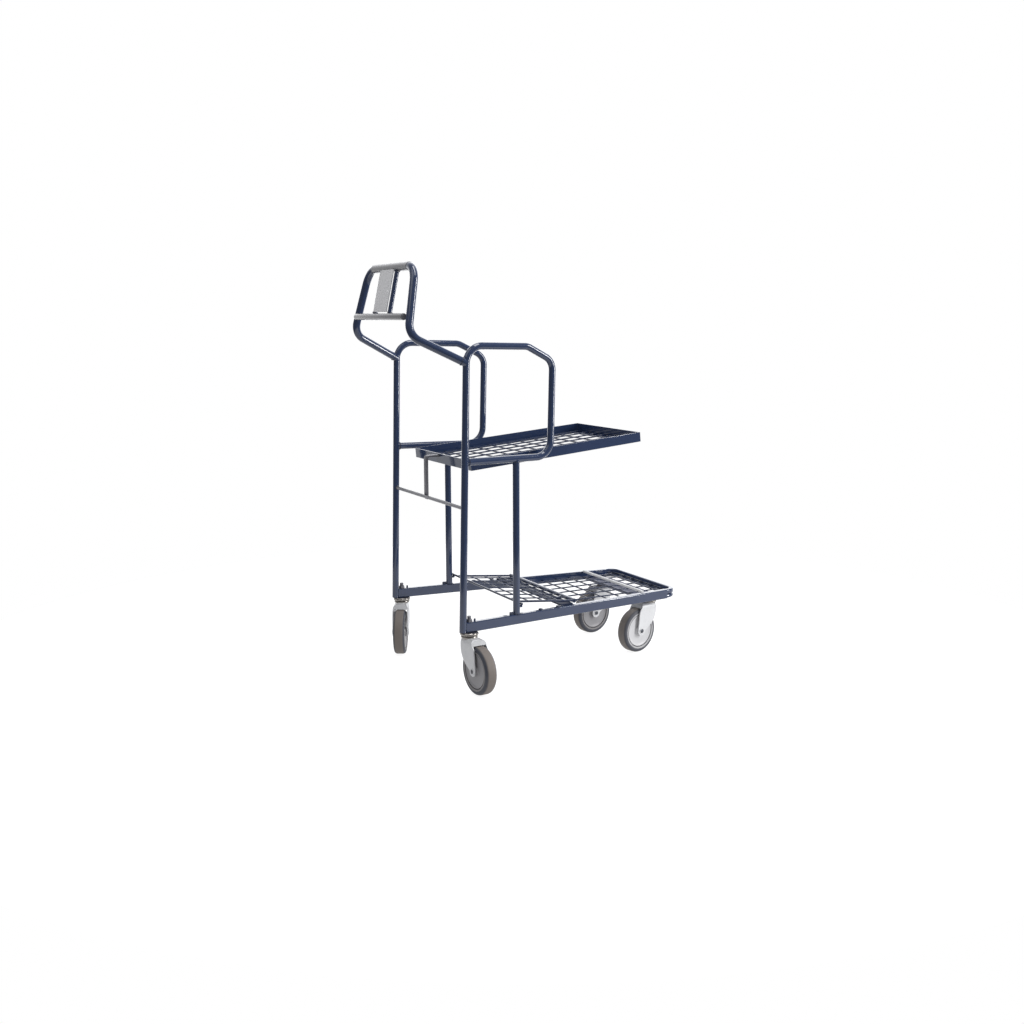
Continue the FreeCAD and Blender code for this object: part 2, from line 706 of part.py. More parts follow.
def rounded_tyre(name, place):
    body = turned(name, [
        ("dims.tyre_seat", "-dims.tyre_wide / 2 + 1.5"),
        ("dims.tyre_seat + 3", "-dims.tyre_wide / 2"),
        ("dims.wheel_dia / 2", "-dims.tyre_wide / 2"),
        ("dims.wheel_dia / 2", "dims.tyre_wide / 2"),
        ("dims.tyre_seat + 3", "dims.tyre_wide / 2"),
        ("dims.tyre_seat", "dims.tyre_wide / 2 - 1.5"),
    ])
    doc.recompute()
    feature = body.Tip
    tread = []
    for i, edge in enumerate(feature.Shape.Edges):
        curve = edge.Curve
        if isinstance(curve, Part.Circle) and abs(curve.Radius - wheel_radius) < 0.01:
            tread.append("Edge%d" % (i + 1))
    soft = body.newObject("PartDesign::Fillet", name + "_round")
    soft.Base = (feature, tread)
    soft.setExpression("Radius", "dims.tyre_round")
    body.Placement = place
    return body


def hub(name, place):
    half_boss = "dims.hub_wide / 2"
    bore = "dims.spacer_dia / 2 + dims.spacer_fit"
    seat = "dims.tyre_wide / 2 - 1.5"
    profile = [
        (bore, half_boss),
        ("dims.hub_boss", half_boss),
        ("dims.hub_boss + 1", seat + " - 2"),
        ("dims.tyre_seat - 8", seat + " - 2"),
        ("dims.tyre_seat - 7", seat + " - 4"),
        ("dims.tyre_seat - 4", seat + " - 4"),
        ("dims.tyre_seat - 3", seat),
        ("dims.tyre_seat", seat),
    ]
    other = [(radius, "-(" + level + ")") for radius, level in reversed(profile)]
    body = turned(name, profile + other)
    body.Placement = place
    return body


def axle_bolt(name, place, wide):
    reach = wide / 2
    shank = cylinder(name + "_shank", "dims.axle_dia / 2", "dims.fork_gap + 2 * dims.fork_thick + dims.axle_nut_high + 2",
                     place.multiply(at(0, -reach, 0, across)))
    head = hexagon(name + "_head", "dims.axle_head / 2", "dims.axle_head_high",
                   place.multiply(at(0, -reach - size("axle_head_high"), 0, across)))
    bolt = fused(name + "_bolt", shank, head)
    ring = hexagon(name + "_nut_block", "dims.axle_head / 2", "dims.axle_nut_high",
                   place.multiply(at(0, reach, 0, across)))
    return group(name + "_set", bolt, cut(name + "_nut", ring, shank))


def spacer(name, place):
    spot = place.multiply(at(0, -size("fork_gap") / 2, 0, across))
    outer = cylinder(name + "_outer", "dims.spacer_dia / 2", "dims.fork_gap", spot)
    bore = cylinder(name + "_bore", "dims.axle_dia / 2", "dims.fork_gap", spot)
    return cut(name + "_tube", outer, bore)


# a fork is padded from its side view and slotted for the wheel; its eye is at
# the axle, and the corners are given from the axle and from the floor
def side_pad(name, corners, wide, axle):
    body = new_body(name)
    sketch = sketch_on(body, "XZ_Plane", name + "_side_view")
    outline(sketch, corners)
    pad(body, sketch, wide)
    body.Placement = Placement(axle.multVec(Vector(0, number(wide) / 2, -wheel_radius)), axle.Rotation)
    return body


overall = size("fork_gap") + 2 * size("fork_thick")
plate_top = size("deck_low") + size("plate_thick")
plate_holes = []
for position in ("rear", "front"):
    races = []
    stems = []
    stem_nuts = []
    for side, sign in sides:
        label = side + "_" + position
        pivot = at(run(size(position + "_swivel_run")), sign * size(position + "_swivel_half"), 0,
                   spin(upward, size("%s_turn_%s" % (position, side))))
        axle = pivot.multiply(at(size("swivel_trail"), 0, wheel_radius))
        name = label + "_fork"
        fork_wide = "dims.fork_gap + 2 * dims.fork_thick"
        cheeks = side_pad(name + "_cheeks", [
            ("-dims.fork_eye + 0.4", "dims.wheel_dia / 2 - 3"),
            ("dims.fork_eye - 0.2", "dims.wheel_dia / 2 + 2"),
            ("dims.fork_front", "dims.crown_low - 22"),
            ("dims.fork_front - 3.5", "dims.crown_low - 13.5"),
            ("dims.fork_front - 9", "dims.crown_low - 5.5"),
            ("dims.fork_front - 17", "dims.crown_low - 1"),
            ("dims.fork_front - 23", "dims.crown_low"),
            ("-dims.fork_back", "dims.crown_low"),
            ("-dims.fork_back", "dims.crown_low - 18"),
            ("-dims.fork_back + 3", "dims.wheel_dia / 2 + 45"),
            ("-dims.fork_back + 9", "dims.wheel_dia / 2 + 31"),
            ("-dims.fork_back + 18", "dims.wheel_dia / 2 + 18.5"),
            ("-dims.fork_back + 32", "dims.wheel_dia / 2 + 8"),
        ], fork_wide, axle)
        eye = cylinder(name + "_eye", "dims.fork_eye", fork_wide, axle.multiply(at(0, -overall / 2, 0, across)))
        crown = cylinder(name + "_crown", "dims.crown_dia / 2", "dims.crown_top - dims.crown_low",
                         pivot.multiply(at(0, 0, size("crown_low"))))
        # the roof curves down in front to a short wall above the tyre
        slot = side_pad(name + "_slot", [
            ("-80", "30"),
            ("80", "30"),
            ("80", "dims.wheel_dia + 2.5"),
            ("dims.fork_front - 7.5", "dims.wheel_dia + 2.5"),
            ("dims.fork_front - 11.6", "dims.crown_low - 7"),
            ("dims.fork_front - 18", "dims.crown_low - dims.fork_thick - 0.8"),
            ("dims.fork_front - 23.5", "dims.crown_low - dims.fork_thick"),
            ("-80", "dims.crown_low - dims.fork_thick"),
        ], "dims.fork_gap", axle)
        hole = cylinder(name + "_axle_hole", "dims.axle_dia / 2", "120", axle.multiply(at(0, -60, 0, across)))
        stem_gap = cylinder(name + "_stem_hole", "dims.stem_dia / 2 + dims.stem_fit", "40",
                            pivot.multiply(at(0, 0, 116)))
        keep(cut(name + "_cut", fused(name + "_whole", cheeks, eye, crown), slot, hole, stem_gap), name)
        keep(axle_bolt(label + "_axle_bolt", axle, overall), label + "_axle")
        keep(spacer(label + "_spacer_tube", axle), label + "_spacer")
        keep(hub(label + "_hub_disc", axle), label + "_hub")
        keep(rounded_tyre(label + "_tyre_ring", axle), label + "_tyre")

        base = at(pivot.Base.x, pivot.Base.y, 0)
        top = "dims.stem_top" if position == "rear" else "dims.deck_low + dims.plate_thick + 0.5"
        shank = cylinder(label + "_stem_shank", "dims.stem_dia / 2", top + " - dims.stem_head_low",
                         base.multiply(at(0, 0, size("stem_head_low"))))
        head = hexagon(label + "_stem_head", "dims.stem_head / 2", "dims.stem_head_top - dims.stem_head_low",
                       base.multiply(at(0, 0, size("stem_head_low"))))
        cap = cylinder(label + "_race_disc", "dims.race_dia / 2", "dims.deck_low - dims.race_low",
                       base.multiply(at(0, 0, size("race_low"))))
        races.append(cut(label + "_race", cap, shank))
        if position == "rear":
            stems.append(fused(label + "_stem", shank, head))
            ring = hexagon(label + "_stem_nut_block", "dims.stem_head / 2", "dims.stem_nut_high",
                           base.multiply(at(0, 0, beam_top)))
            stem_nuts.append(cut(label + "_stem_nut", ring, shank))
        else:
            rivet = hexagon(label + "_stem_rivet", "dims.stem_head / 2", "dims.rivet_high",
                            base.multiply(at(0, 0, plate_top)))
            stems.append(fused(label + "_stem", shank, head, rivet))
            plate_holes.append(cylinder(label + "_plate_hole", "dims.stem_dia / 2", "20",
                                        base.multiply(at(0, 0, size("deck_low") - 10))))
    keep(group(position + "_race_pair", *races), position + "_races")
    keep(group(position + "_stem_pair", *stems), position + "_stems")
    if stem_nuts:
        keep(group("stem_nut_pair", *stem_nuts), "rear_stem_nuts")

# sheet between the beams that carries the front casters
inset = size("beam_wide") / 2 / math.cos(math.radians(size("taper"))) + 0.02
rear_half = half_at(size("plate_rear")) - inset
corner_half = half_at(size("plate_corner")) - inset
corners = [(size("plate_rear"), rear_half), (size("plate_rear"), -rear_half),
           (size("plate_corner"), -corner_half), (size("plate_front"), -size("plate_front_half")),
           (size("plate_front"), size("plate_front_half")), (size("plate_corner"), corner_half)]
body = new_body("caster_sheet")
sketch = sketch_on(body, "XY_Plane", "caster_sheet_outline")
outline(sketch, [("%.4f" % x, "%.4f" % y) for x, y in corners])
pad(body, sketch, "dims.plate_thick")
body.Placement = at(run(0), 0, size("deck_low"))
keep(cut("caster_plate_cut", body, *plate_holes), "caster_plate")

doc.recompute()

faults = []
for item in doc.Objects:
    if "Invalid" in item.State or "Error" in item.State:
        faults.append(item.Name + " " + " ".join(item.State))
for item in nodes:
    shape = item.Shape
    if shape.isNull() or not shape.isValid() or not shape.Solids:
        faults.append(item.Label + " has no sound shape")
if faults:
    raise RuntimeError("; ".join(faults))

os.makedirs("parts", exist_ok=True)
whole = FreeCAD.BoundBox()
for item in nodes:
    item.Shape.exportStep(os.path.join("parts", item.Label + ".step"))
    whole.add(item.Shape.optimalBoundingBox())
    print("%-18s solids %d volume %.0f" % (item.Label, len(item.Shape.Solids), item.Shape.Volume))
print("nodes", len(nodes))
print("box", [round(v, 1) for v in (whole.XMin, whole.XMax, whole.YMin, whole.YMax, whole.ZMin, whole.ZMax)])
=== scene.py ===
import math
import bmesh
import bpy
from mathutils import Matrix, Vector


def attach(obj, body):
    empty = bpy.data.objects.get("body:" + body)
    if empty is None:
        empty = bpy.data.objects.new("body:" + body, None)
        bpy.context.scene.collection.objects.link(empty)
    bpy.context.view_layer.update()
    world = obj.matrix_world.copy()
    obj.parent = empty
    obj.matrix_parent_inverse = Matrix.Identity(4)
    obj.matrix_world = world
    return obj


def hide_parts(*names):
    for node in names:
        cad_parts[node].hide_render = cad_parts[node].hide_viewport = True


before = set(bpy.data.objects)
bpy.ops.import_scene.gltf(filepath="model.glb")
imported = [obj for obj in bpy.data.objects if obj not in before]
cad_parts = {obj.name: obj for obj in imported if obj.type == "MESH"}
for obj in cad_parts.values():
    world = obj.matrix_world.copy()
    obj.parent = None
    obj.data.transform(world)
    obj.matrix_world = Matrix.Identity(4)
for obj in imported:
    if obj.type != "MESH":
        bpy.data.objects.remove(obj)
scene = bpy.context.scene
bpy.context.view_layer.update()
print("frame loaded:", len(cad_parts), "nodes")

# lengths below are millimetres; run is measured forward from the foot of the rear posts
postRun = -291.8
mm = 0.001
flatLimit = 0.999  # a face whose normal lies this close to an axis counts as flat
sideSigns = {"right": -1, "left": 1}


def spot(run, y, z):
    return Vector(((run + postRun) * mm, y * mm, z * mm))


def at(run, y, z):
    return Matrix.Translation(spot(run, y, z))


def turn(axis, degrees):
    return Matrix.Rotation(math.radians(degrees), 4, axis)


# shader maths


class Val:  # a socket that can be used in sums
    def __init__(self, tree, socket):
        self.tree = tree
        self.socket = socket

    def math(self, operation, left, right):
        made = self.tree.node("ShaderNodeMath", {"operation": operation}, {0: left, 1: right})
        return Val(self.tree, made.outputs[0])

    def __add__(self, other):
        return self.math("ADD", self, other)

    def __radd__(self, other):
        return self.math("ADD", other, self)

    def __sub__(self, other):
        return self.math("SUBTRACT", self, other)

    def __mul__(self, other):
        return self.math("MULTIPLY", self, other)

    def above(self, level):
        return self.math("GREATER_THAN", self, level)


class Tree:  # adds nodes to a shader or geometry tree
    def __init__(self, tree):
        self.tree = tree

    def node(self, kind, settings=None, values=None):
        made = self.tree.nodes.new(kind)
        for key, value in (settings or {}).items():
            setattr(made, key, value)
        for key, value in (values or {}).items():
            socket = made.inputs[key]
            if isinstance(value, Val):
                self.tree.links.new(value.socket, socket)
            elif isinstance(value, bpy.types.NodeSocket):
                self.tree.links.new(value, socket)
            else:
                socket.default_value = value
        return made

    def out(self, kind, values=None, settings=None):  # the first output of a new node
        return self.node(kind, settings, values).outputs[0]

    def val(self, socket):
        return Val(self, socket)


def newFinish(name):
    material = bpy.data.materials.new(name)
    material.use_nodes = True
    material.node_tree.nodes.clear()
    tree = Tree(material.node_tree)
    place = tree.node("ShaderNodeTexCoord").outputs["Object"]
    return material, tree, place


def noise(tree, place, scale, detail=3.0, rough=0.5):
    values = {"Vector": place, "Scale": scale, "Detail": detail, "Roughness": rough}
    return tree.val(tree.out("ShaderNodeTexNoise", values))


def blendColour(tree, factor, first, second):
    made = tree.node("ShaderNodeMix", {"data_type": "RGBA"}, {0: factor, 6: first, 7: second})
    return made.outputs[2]


def closeFinish(material, tree, values, bump=None, bumpStrength=0.1, bumpDepth=0.0002):
    if bump is not None:
        relief = {"Height": bump, "Strength": bumpStrength, "Distance": bumpDepth}
        values["Normal"] = tree.out("ShaderNodeBump", relief)
    shader = tree.node("ShaderNodeBsdfPrincipled", None, values)
    tree.node("ShaderNodeOutputMaterial", None, {"Surface": shader.outputs[0]})
    return material


def powderCoat(name, deep, pale, roughness, coat, shine=0.5):
    material, tree, place = newFinish(name)
    cloud = noise(tree, place, 9.0, 4.0)
    peel = noise(tree, place, 260.0, 2.0)
    speck = noise(tree, place, 240.0, 3.0, 0.7).above(0.72)
    tone = blendColour(tree, cloud, (*deep, 1), (*pale, 1))
    colour = blendColour(tree, speck * 0.2, tone, (0.16, 0.17, 0.2, 1))
    values = {
        "Base Color": colour,
        "Roughness": roughness + cloud * 0.05 + peel * 0.03,
        "Coat Weight": coat,
        "Coat Roughness": 0.05,
        "Specular IOR Level": shine,
    }
    return closeFinish(material, tree, values, peel, 0.03, 0.0001)


def zincPlating(name, tone, roughness, metal=0.85):
    material, tree, place = newFinish(name)
    flake = tree.node("ShaderNodeTexVoronoi", None, {"Vector": place, "Scale": 260.0})
    grain = tree.val(flake.outputs["Color"])
    cloud = noise(tree, place, 34.0, 4.0)
    smear = noise(tree, place, 150.0, 3.0)
    pale = tuple(min(1.0, c * 1.1) for c in tone)
    deep = tuple(c * 0.86 for c in tone)
    colour = blendColour(tree, cloud * 0.7 + grain * 0.3, (*deep, 1), (*pale, 1))
    values = {
        "Base Color": colour,
        "Metallic": metal,
        "Roughness": roughness + smear * 0.12 + grain * 0.05,
    }
    return closeFinish(material, tree, values, smear, 0.03, 0.0002)


def softPlastic(name, deep, pale, roughness, grainScale, grainDepth):
    material, tree, place = newFinish(name)
    cloud = noise(tree, place, 22.0, 4.0)
    grain = noise(tree, place, grainScale, 3.0, 0.6)
    scuff = noise(tree, place, 75.0, 5.0, 0.7)
    tone = blendColour(tree, cloud * 0.6 + scuff * 0.4, (*deep, 1), (*pale, 1))
    values = {"Base Color": tone, "Roughness": roughness + scuff * 0.12}
    return closeFinish(material, tree, values, grain, 0.04, grainDepth)


def tyreRubber(name, wall, shoulder, tread):
    # the attribute zone is 0 on the side wall, 1 in the groove and on the shoulder and 2 on the tread; the
    # shoulder colour is painted shade, dark in the groove and on the rounded shoulder
    material, tree, place = newFinish(name)
    zone = tree.val(tree.node("ShaderNodeAttribute", {"attribute_name": "zone"}).outputs["Fac"])
    cloud = noise(tree, place, 30.0, 4.0)
    scuff = noise(tree, place, 110.0, 5.0, 0.7)
    grain = noise(tree, place, 520.0, 3.0, 0.6)
    grooveAndShoulderShade = zone.math("MINIMUM", zone, 1.0)
    onTread = (zone - 1.0).math("MAXIMUM", zone - 1.0, 0.0)
    side = blendColour(tree, grooveAndShoulderShade, (*wall, 1), (*shoulder, 1))
    whole = blendColour(tree, onTread, side, (*tread, 1))
    dust = blendColour(tree, cloud * scuff * 0.3, whole, (0.3, 0.285, 0.27, 1))
    values = {"Base Color": dust, "Roughness": 0.48 + scuff * 0.2}
    return closeFinish(material, tree, values, grain, 0.08, 0.0002)


finishes = {
    "navy": powderCoat("navyPowderCoat", (0.018, 0.033, 0.084), (0.025, 0.044, 0.106), 0.08, 0.6),
    # the band coat is a darker, matte copy of the navy coat: painted shade on the hinge band and the hinge
    # pin
    "band": powderCoat("shadedMatteBandCoat", (0.014, 0.022, 0.05), (0.018, 0.028, 0.062), 0.5, 0.0, 0.15),
    "wire": powderCoat("navyWireCoat", (0.010, 0.019, 0.055), (0.014, 0.026, 0.072), 0.18, 0.15),
    "weld": powderCoat("navyWeldCoat", (0.009, 0.017, 0.048), (0.013, 0.023, 0.062), 0.22, 0.15),
    "zinc": zincPlating("paleZinc", (0.68, 0.685, 0.7), 0.42, 0.3),
    "shadedZinc": zincPlating("shadedZinc", (0.5, 0.505, 0.52), 0.42, 0.3),
    "chrome": zincPlating("raceChrome", (0.34, 0.32, 0.3), 0.2, 1.0),
    "steel": zincPlating("dullSteel", (0.5, 0.5, 0.52), 0.32),
    "rodSteel": zincPlating("bareRodSteel", (0.27, 0.27, 0.29), 0.34, 0.6),
    "strapSteel": zincPlating("bareStrapSteel", (0.15, 0.15, 0.17), 0.36, 0.6),
    # the caster plate's finish is a dark bluish copy of the zinc: painted shade under the deck
    "shadedSheetSteel": zincPlating("shadedCasterSheet", (0.17, 0.18, 0.25), 0.6, 0.0),
    "darkSteel": zincPlating("darkClipSteel", (0.07, 0.075, 0.09), 0.35, 0.5),
    "paleBar": zincPlating("paleBarZinc", (0.86, 0.865, 0.87), 0.36, 0.15),
    "sleeve": softPlastic("greySleeve", (0.2, 0.2, 0.213), (0.225, 0.225, 0.24), 0.2, 900.0, 0.0001),
    "plate": softPlastic("plateEnamel", (0.72, 0.72, 0.74), (0.78, 0.78, 0.8), 0.4, 700.0, 0.0001),
    "tyre": tyreRubber("greyTyre", (0.46, 0.46, 0.475), (0.045, 0.05, 0.068), (0.19, 0.168, 0.154)),
    # the two darker copies of the tyre and hub below are painted shade for the wheels that stand in shade;
    # the plain tyre and hub are the lit copies
    "shadedTyre": tyreRubber("shadedTyre", (0.24, 0.23, 0.235), (0.03, 0.036, 0.055), (0.175, 0.15, 0.134)),
    "hub": softPlastic("greyHub", (0.58, 0.58, 0.595), (0.64, 0.64, 0.655), 0.34, 620.0, 0.0002),
    "shadedHub": softPlastic("shadedHub", (0.27, 0.265, 0.28), (0.32, 0.315, 0.325), 0.36, 620.0, 0.0002),
}
print("finishes:", len(finishes))


# geometry trees


def newGeometry(name, inputs):  # a tree with these inputs and a finish
    group = bpy.data.node_groups.new(name, "GeometryNodeTree")
    ids = {}
    group.interface.new_socket("Geometry", in_out="INPUT", socket_type="NodeSocketGeometry")
    for label, kind in {**inputs, "Finish": "Material"}.items():
        made = group.interface.new_socket(label, in_out="INPUT", socket_type="NodeSocket" + kind)
        ids[label] = made.identifier
    group.interface.new_socket("Geometry", in_out="OUTPUT", socket_type="NodeSocketGeometry")
    tree = Tree(group)
    source = tree.node("NodeGroupInput").outputs
    return group, tree, source, ids


def closeGeometry(tree, geometry, finish):
    realized = tree.out("GeometryNodeRealizeInstances", {"Geometry": geometry})
    coat = {"Geometry": realized, "Material": finish}
    painted = tree.out("GeometryNodeSetMaterial", coat)
    tree.node("NodeGroupOutput", None, {"Geometry": painted})


def bentTubeGeometry():  # round bar or tube along a path with filleted corners
    inputs = {"Tube Radius": "Float", "Sides": "Int", "Bend Steps": "Int"}
    group, tree, source, ids = newGeometry("bentTube", inputs)
    path = tree.out("GeometryNodeMeshToCurve", {"Mesh": source["Geometry"]})
    bend = tree.out("GeometryNodeInputNamedAttribute", {"Name": "bendRadius"}, {"data_type": "FLOAT"})
    fillet = tree.out("GeometryNodeFilletCurve",
                      {"Curve": path, "Radius": bend, "Count": source["Bend Steps"]}, {"mode": "POLY"})
    ring = tree.out("GeometryNodeCurvePrimitiveCircle",
                    {"Resolution": source["Sides"], "Radius": source["Tube Radius"]}, {"mode": "RADIUS"})
    parts = {"Curve": fillet, "Profile Curve": ring, "Fill Caps": True}
    tube = tree.out("GeometryNodeCurveToMesh", parts)
    closeGeometry(tree, tube, source["Finish"])
    return group, ids


def weldBeadGeometry():  # overlapping beads laid along a path
    inputs = {"Bead Radius": "Float", "Bead Step": "Float", "Seed": "Int"}
    group, tree, source, ids = newGeometry("weldBead", inputs)
    path = tree.out("GeometryNodeMeshToCurve", {"Mesh": source["Geometry"]})
    points = tree.out("GeometryNodeResampleCurve",
                      {"Curve": path, "Length": source["Bead Step"]}, {"mode": "LENGTH"})
    bead = tree.out("GeometryNodeMeshIcoSphere", {"Radius": source["Bead Radius"], "Subdivisions": 2})
    size = tree.node("FunctionNodeRandomValue", {"data_type": "FLOAT"},
                     {2: 0.75, 3: 1.15, "Seed": source["Seed"]}).outputs[1]
    swarm = tree.out("GeometryNodeInstanceOnPoints", {"Points": points, "Instance": bead, "Scale": size})
    closeGeometry(tree, swarm, source["Finish"])
    return group, ids


def hexHeadGeometry():  # chamfered hexagon heads on points, standing along the attribute axis
    inputs = {"Head Radius": "Float", "Head Height": "Float", "Chamfer": "Float"}
    group, tree, source, ids = newGeometry("hexHead", inputs)
    sizes = {"Vertices": 6, "Radius": source["Head Radius"], "Depth": source["Head Height"]}
    prism = tree.out("GeometryNodeMeshCylinder", sizes)
    lifted = tree.out("ShaderNodeMath", {0: source["Head Height"], 1: 0.5}, {"operation": "MULTIPLY"})
    rise = tree.out("ShaderNodeCombineXYZ", {"Z": lifted})
    prism = tree.out("GeometryNodeTransform", {"Geometry": prism, "Translation": rise})
    normal = tree.node("GeometryNodeInputNormal").outputs[0]
    upward = tree.node("ShaderNodeSeparateXYZ", None, {0: normal}).outputs[2]
    onTop = tree.out("FunctionNodeCompare",
                     {0: upward, 1: 0.5}, {"data_type": "FLOAT", "operation": "GREATER_THAN"})
    raised = tree.node("GeometryNodeExtrudeMesh", {"mode": "FACES"},
                       {"Mesh": prism, "Selection": onTop, "Offset Scale": source["Chamfer"]})
    topFace = {"Geometry": raised.outputs[0], "Selection": raised.outputs[1], "Scale": 0.86}
    capped = tree.out("GeometryNodeScaleElements", topFace, {"domain": "FACE"})
    axis = tree.out("GeometryNodeInputNamedAttribute", {"Name": "axis"}, {"data_type": "FLOAT_VECTOR"})
    aim = tree.out("FunctionNodeAlignEulerToVector", {"Vector": axis}, {"axis": "Z"})
    heads = tree.out("GeometryNodeInstanceOnPoints",
                     {"Points": source["Geometry"], "Instance": capped, "Rotation": aim})
    closeGeometry(tree, heads, source["Finish"])
    return group, ids


bentTube = bentTubeGeometry()
weldBead = weldBeadGeometry()
hexHead = hexHeadGeometry()


def addObject(name, data):
    made = bpy.data.objects.new(name, data)
    scene.collection.objects.link(made)
    return made


def smooth(mesh, angle=35):
    mesh.polygons.foreach_set("use_smooth", [True] * len(mesh.polygons))
    mesh.set_sharp_from_angle(angle=math.radians(angle))


def finished(name, source, angle=35):  # the evaluated object becomes a plain mesh object
    bpy.context.view_layer.update()
    view = bpy.context.evaluated_depsgraph_get()
    mesh = bpy.data.meshes.new_from_object(source.evaluated_get(view))
    bpy.data.objects.remove(source)
    mesh.name = name
    smooth(mesh, angle)
    return addObject(name, mesh)


def runTree(name, mesh, geometry, values, angle=35):
    group, ids = geometry
    source = addObject(name + "Path", mesh)
    modifier = source.modifiers.new("shape", "NODES")
    modifier.node_group = group
    for label, value in values.items():
        modifier[ids[label]] = value
    return finished(name, source, angle)


def pathMesh(paths):  # each path is a list of points, or of points with a bend radius
    points, edges, bends = [], [], []
    for path in paths:
        first = len(points)
        for item in path:
            place, bend = item if isinstance(item, tuple) else (item, 0.0)
            points.append(place)
            bends.append(bend * mm)
        edges += [(i, i + 1) for i in range(first, len(points) - 1)]
    mesh = bpy.data.meshes.new("path")
    mesh.from_pydata(points, edges, [])
    mesh.attributes.new("bendRadius", "FLOAT", "POINT").data.foreach_set("value", bends)
    return mesh


def tube(name, paths, radius, finish, sides=28, bendSteps=14):
    values = {"Tube Radius": radius * mm, "Sides": sides, "Bend Steps": bendSteps,
              "Finish": finishes[finish]}
    return runTree(name, pathMesh(paths), bentTube, values, 40)


def ringPath(centre, axis, radius, count=20):
    axis = axis.normalized()
    side = axis.orthogonal().normalized()
    other = axis.cross(side)
    points = []
    for i in range(count + 1):
        angle = 2 * math.pi * i / count
        points.append(centre + (side * math.cos(angle) + other * math.sin(angle)) * radius * mm)
    return points


def meshObject(name, shape, finish, angle=35, keepFlat=False):
    mesh = bpy.data.meshes.new(name)
    shape.to_mesh(mesh)
    shape.free()
    mesh.materials.append(finishes[finish])
    flags = [face.use_smooth for face in mesh.polygons]
    smooth(mesh, angle)
    if keepFlat:
        mesh.polygons.foreach_set("use_smooth", flags)
    return addObject(name, mesh)


def faceOutwards(shape):
    bmesh.ops.recalc_face_normals(shape, faces=shape.faces)


def transform(shape, matrix):
    bmesh.ops.transform(shape, matrix=matrix, verts=shape.verts)


def flattenSides(shape):  # faces along the axes are shaded flat, the rounded edges between them smooth
    for face in shape.faces:
        face.smooth = max(abs(part) for part in face.normal) < flatLimit


def bevelBox(name, low, high, radius, matrix, finish, segments=3):  # a box with rounded edges
    shape = bmesh.new()
    bmesh.ops.create_cube(shape, size=1.0)
    size = [(b - a) * mm for a, b in zip(low, high)]
    centre = [(b + a) / 2 * mm for a, b in zip(low, high)]
    grown = Matrix.Translation(centre) @ Matrix.Diagonal((*size, 1))
    transform(shape, grown)
    bmesh.ops.bevel(shape, geom=list(shape.edges), offset=radius * mm, segments=segments, profile=0.5,
                    affect="EDGES", clamp_overlap=True)
    faceOutwards(shape)
    flattenSides(shape)
    transform(shape, matrix)
    return meshObject(name, shape, finish, 35, True)


def lathe(name, profile, matrix, finish, segments=72, zones=None):
    # a closed profile of (radius, height) is turned about local Z
    shape = bmesh.new()
    layer = shape.verts.layers.float.new("zone") if zones else None
    rings = []
    for i in range(segments):
        angle = 2 * math.pi * i / segments
        across, along = math.cos(angle), math.sin(angle)
        rings.append([shape.verts.new((r * mm * across, r * mm * along, z * mm)) for r, z in profile])
        for vertex, value in zip(rings[-1], zones or []):
            vertex[layer] = value
    count = len(profile)
    for i in range(segments):
        here, after = rings[i], rings[(i + 1) % segments]
        for j in range(count):
            k = (j + 1) % count
            shape.faces.new((here[j], after[j], after[k], here[k]))
    transform(shape, matrix)
    bmesh.ops.remove_doubles(shape, verts=shape.verts, dist=1e-6)
    faceOutwards(shape)
    return meshObject(name, shape, finish, 30)


def flatPlate(name, outlines, thickness, bevel, matrix, finish):
    # a sheet, with holes where there are more outlines, its faces parallel to local XY
    curve = bpy.data.curves.new(name, "CURVE")
    curve.dimensions = "2D"
    curve.fill_mode = "BOTH"
    curve.extrude = (thickness / 2 - bevel) * mm
    curve.bevel_depth = bevel * mm
    curve.bevel_resolution = 2
    for outline in outlines:
        spline = curve.splines.new("POLY")
        spline.points.add(len(outline) - 1)
        for point, (x, y) in zip(spline.points, outline):
            point.co = (x * mm, y * mm, 0, 1)
        spline.use_cyclic_u = True
    made = finished(name, addObject(name + "Outline", curve), 30)
    for face in made.data.polygons:
        face.use_smooth = abs(face.normal.z) < flatLimit
    made.data.transform(matrix)
    made.data.materials.clear()
    made.data.materials.append(finishes[finish])
    return made


def arc(centre, radius, start, end, count):
    x, y = centre
    angles = [math.radians(start + (end - start) * i / count) for i in range(count + 1)]
    return [(x + radius * math.cos(angle), y + radius * math.sin(angle)) for angle in angles]


def roundedRectangle(wide, tall, radius, count=6):
    x, y = wide / 2 - radius, tall / 2 - radius
    return arc((x, y), radius, 0, 90, count) + arc((-x, y), radius, 90, 180, count) \
        + arc((-x, -y), radius, 180, 270, count) + arc((x, -y), radius, 270, 360, count)


def bendPoints(before, corner, after, radius, share):  # the first share of a rounded corner
    wayIn, wayOut = (corner - before).normalized(), (after - corner).normalized()
    angle = wayIn.angle(wayOut)
    first = corner - wayIn * radius * mm * math.tan(angle / 2)
    outward = (wayOut - wayIn * wayIn.dot(wayOut)).normalized()
    points = []
    steps = 8
    for i in range(steps + 1):
        part = angle * share * i / steps
        points.append(first + (wayIn * math.sin(part) + outward * (1 - math.cos(part))) * radius * mm)
    return points


def sweptBar(name, points, wide, tall, corner, finish):
    # a bar of rounded rectangular section along a level path
    section = roundedRectangle(wide, tall, corner, 4)
    upward = Vector((0, 0, 1))
    shape = bmesh.new()
    rings = []
    for i, point in enumerate(points):
        ahead = points[min(i + 1, len(points) - 1)] - points[max(i - 1, 0)]
        sideways = ahead.cross(upward).normalized()
        rings.append([shape.verts.new(point + sideways * (a * mm) + upward * (b * mm)) for a, b in section])
    for here, after in zip(rings, rings[1:]):
        for j in range(len(section)):
            k = (j + 1) % len(section)
            shape.faces.new((here[j], here[k], after[k], after[j]))
    shape.faces.new(rings[0])
    shape.faces.new(list(reversed(rings[-1])))
    faceOutwards(shape)
    for face in shape.faces:
        face.smooth = abs(face.normal.z) < flatLimit
    return meshObject(name, shape, finish, 35, True)


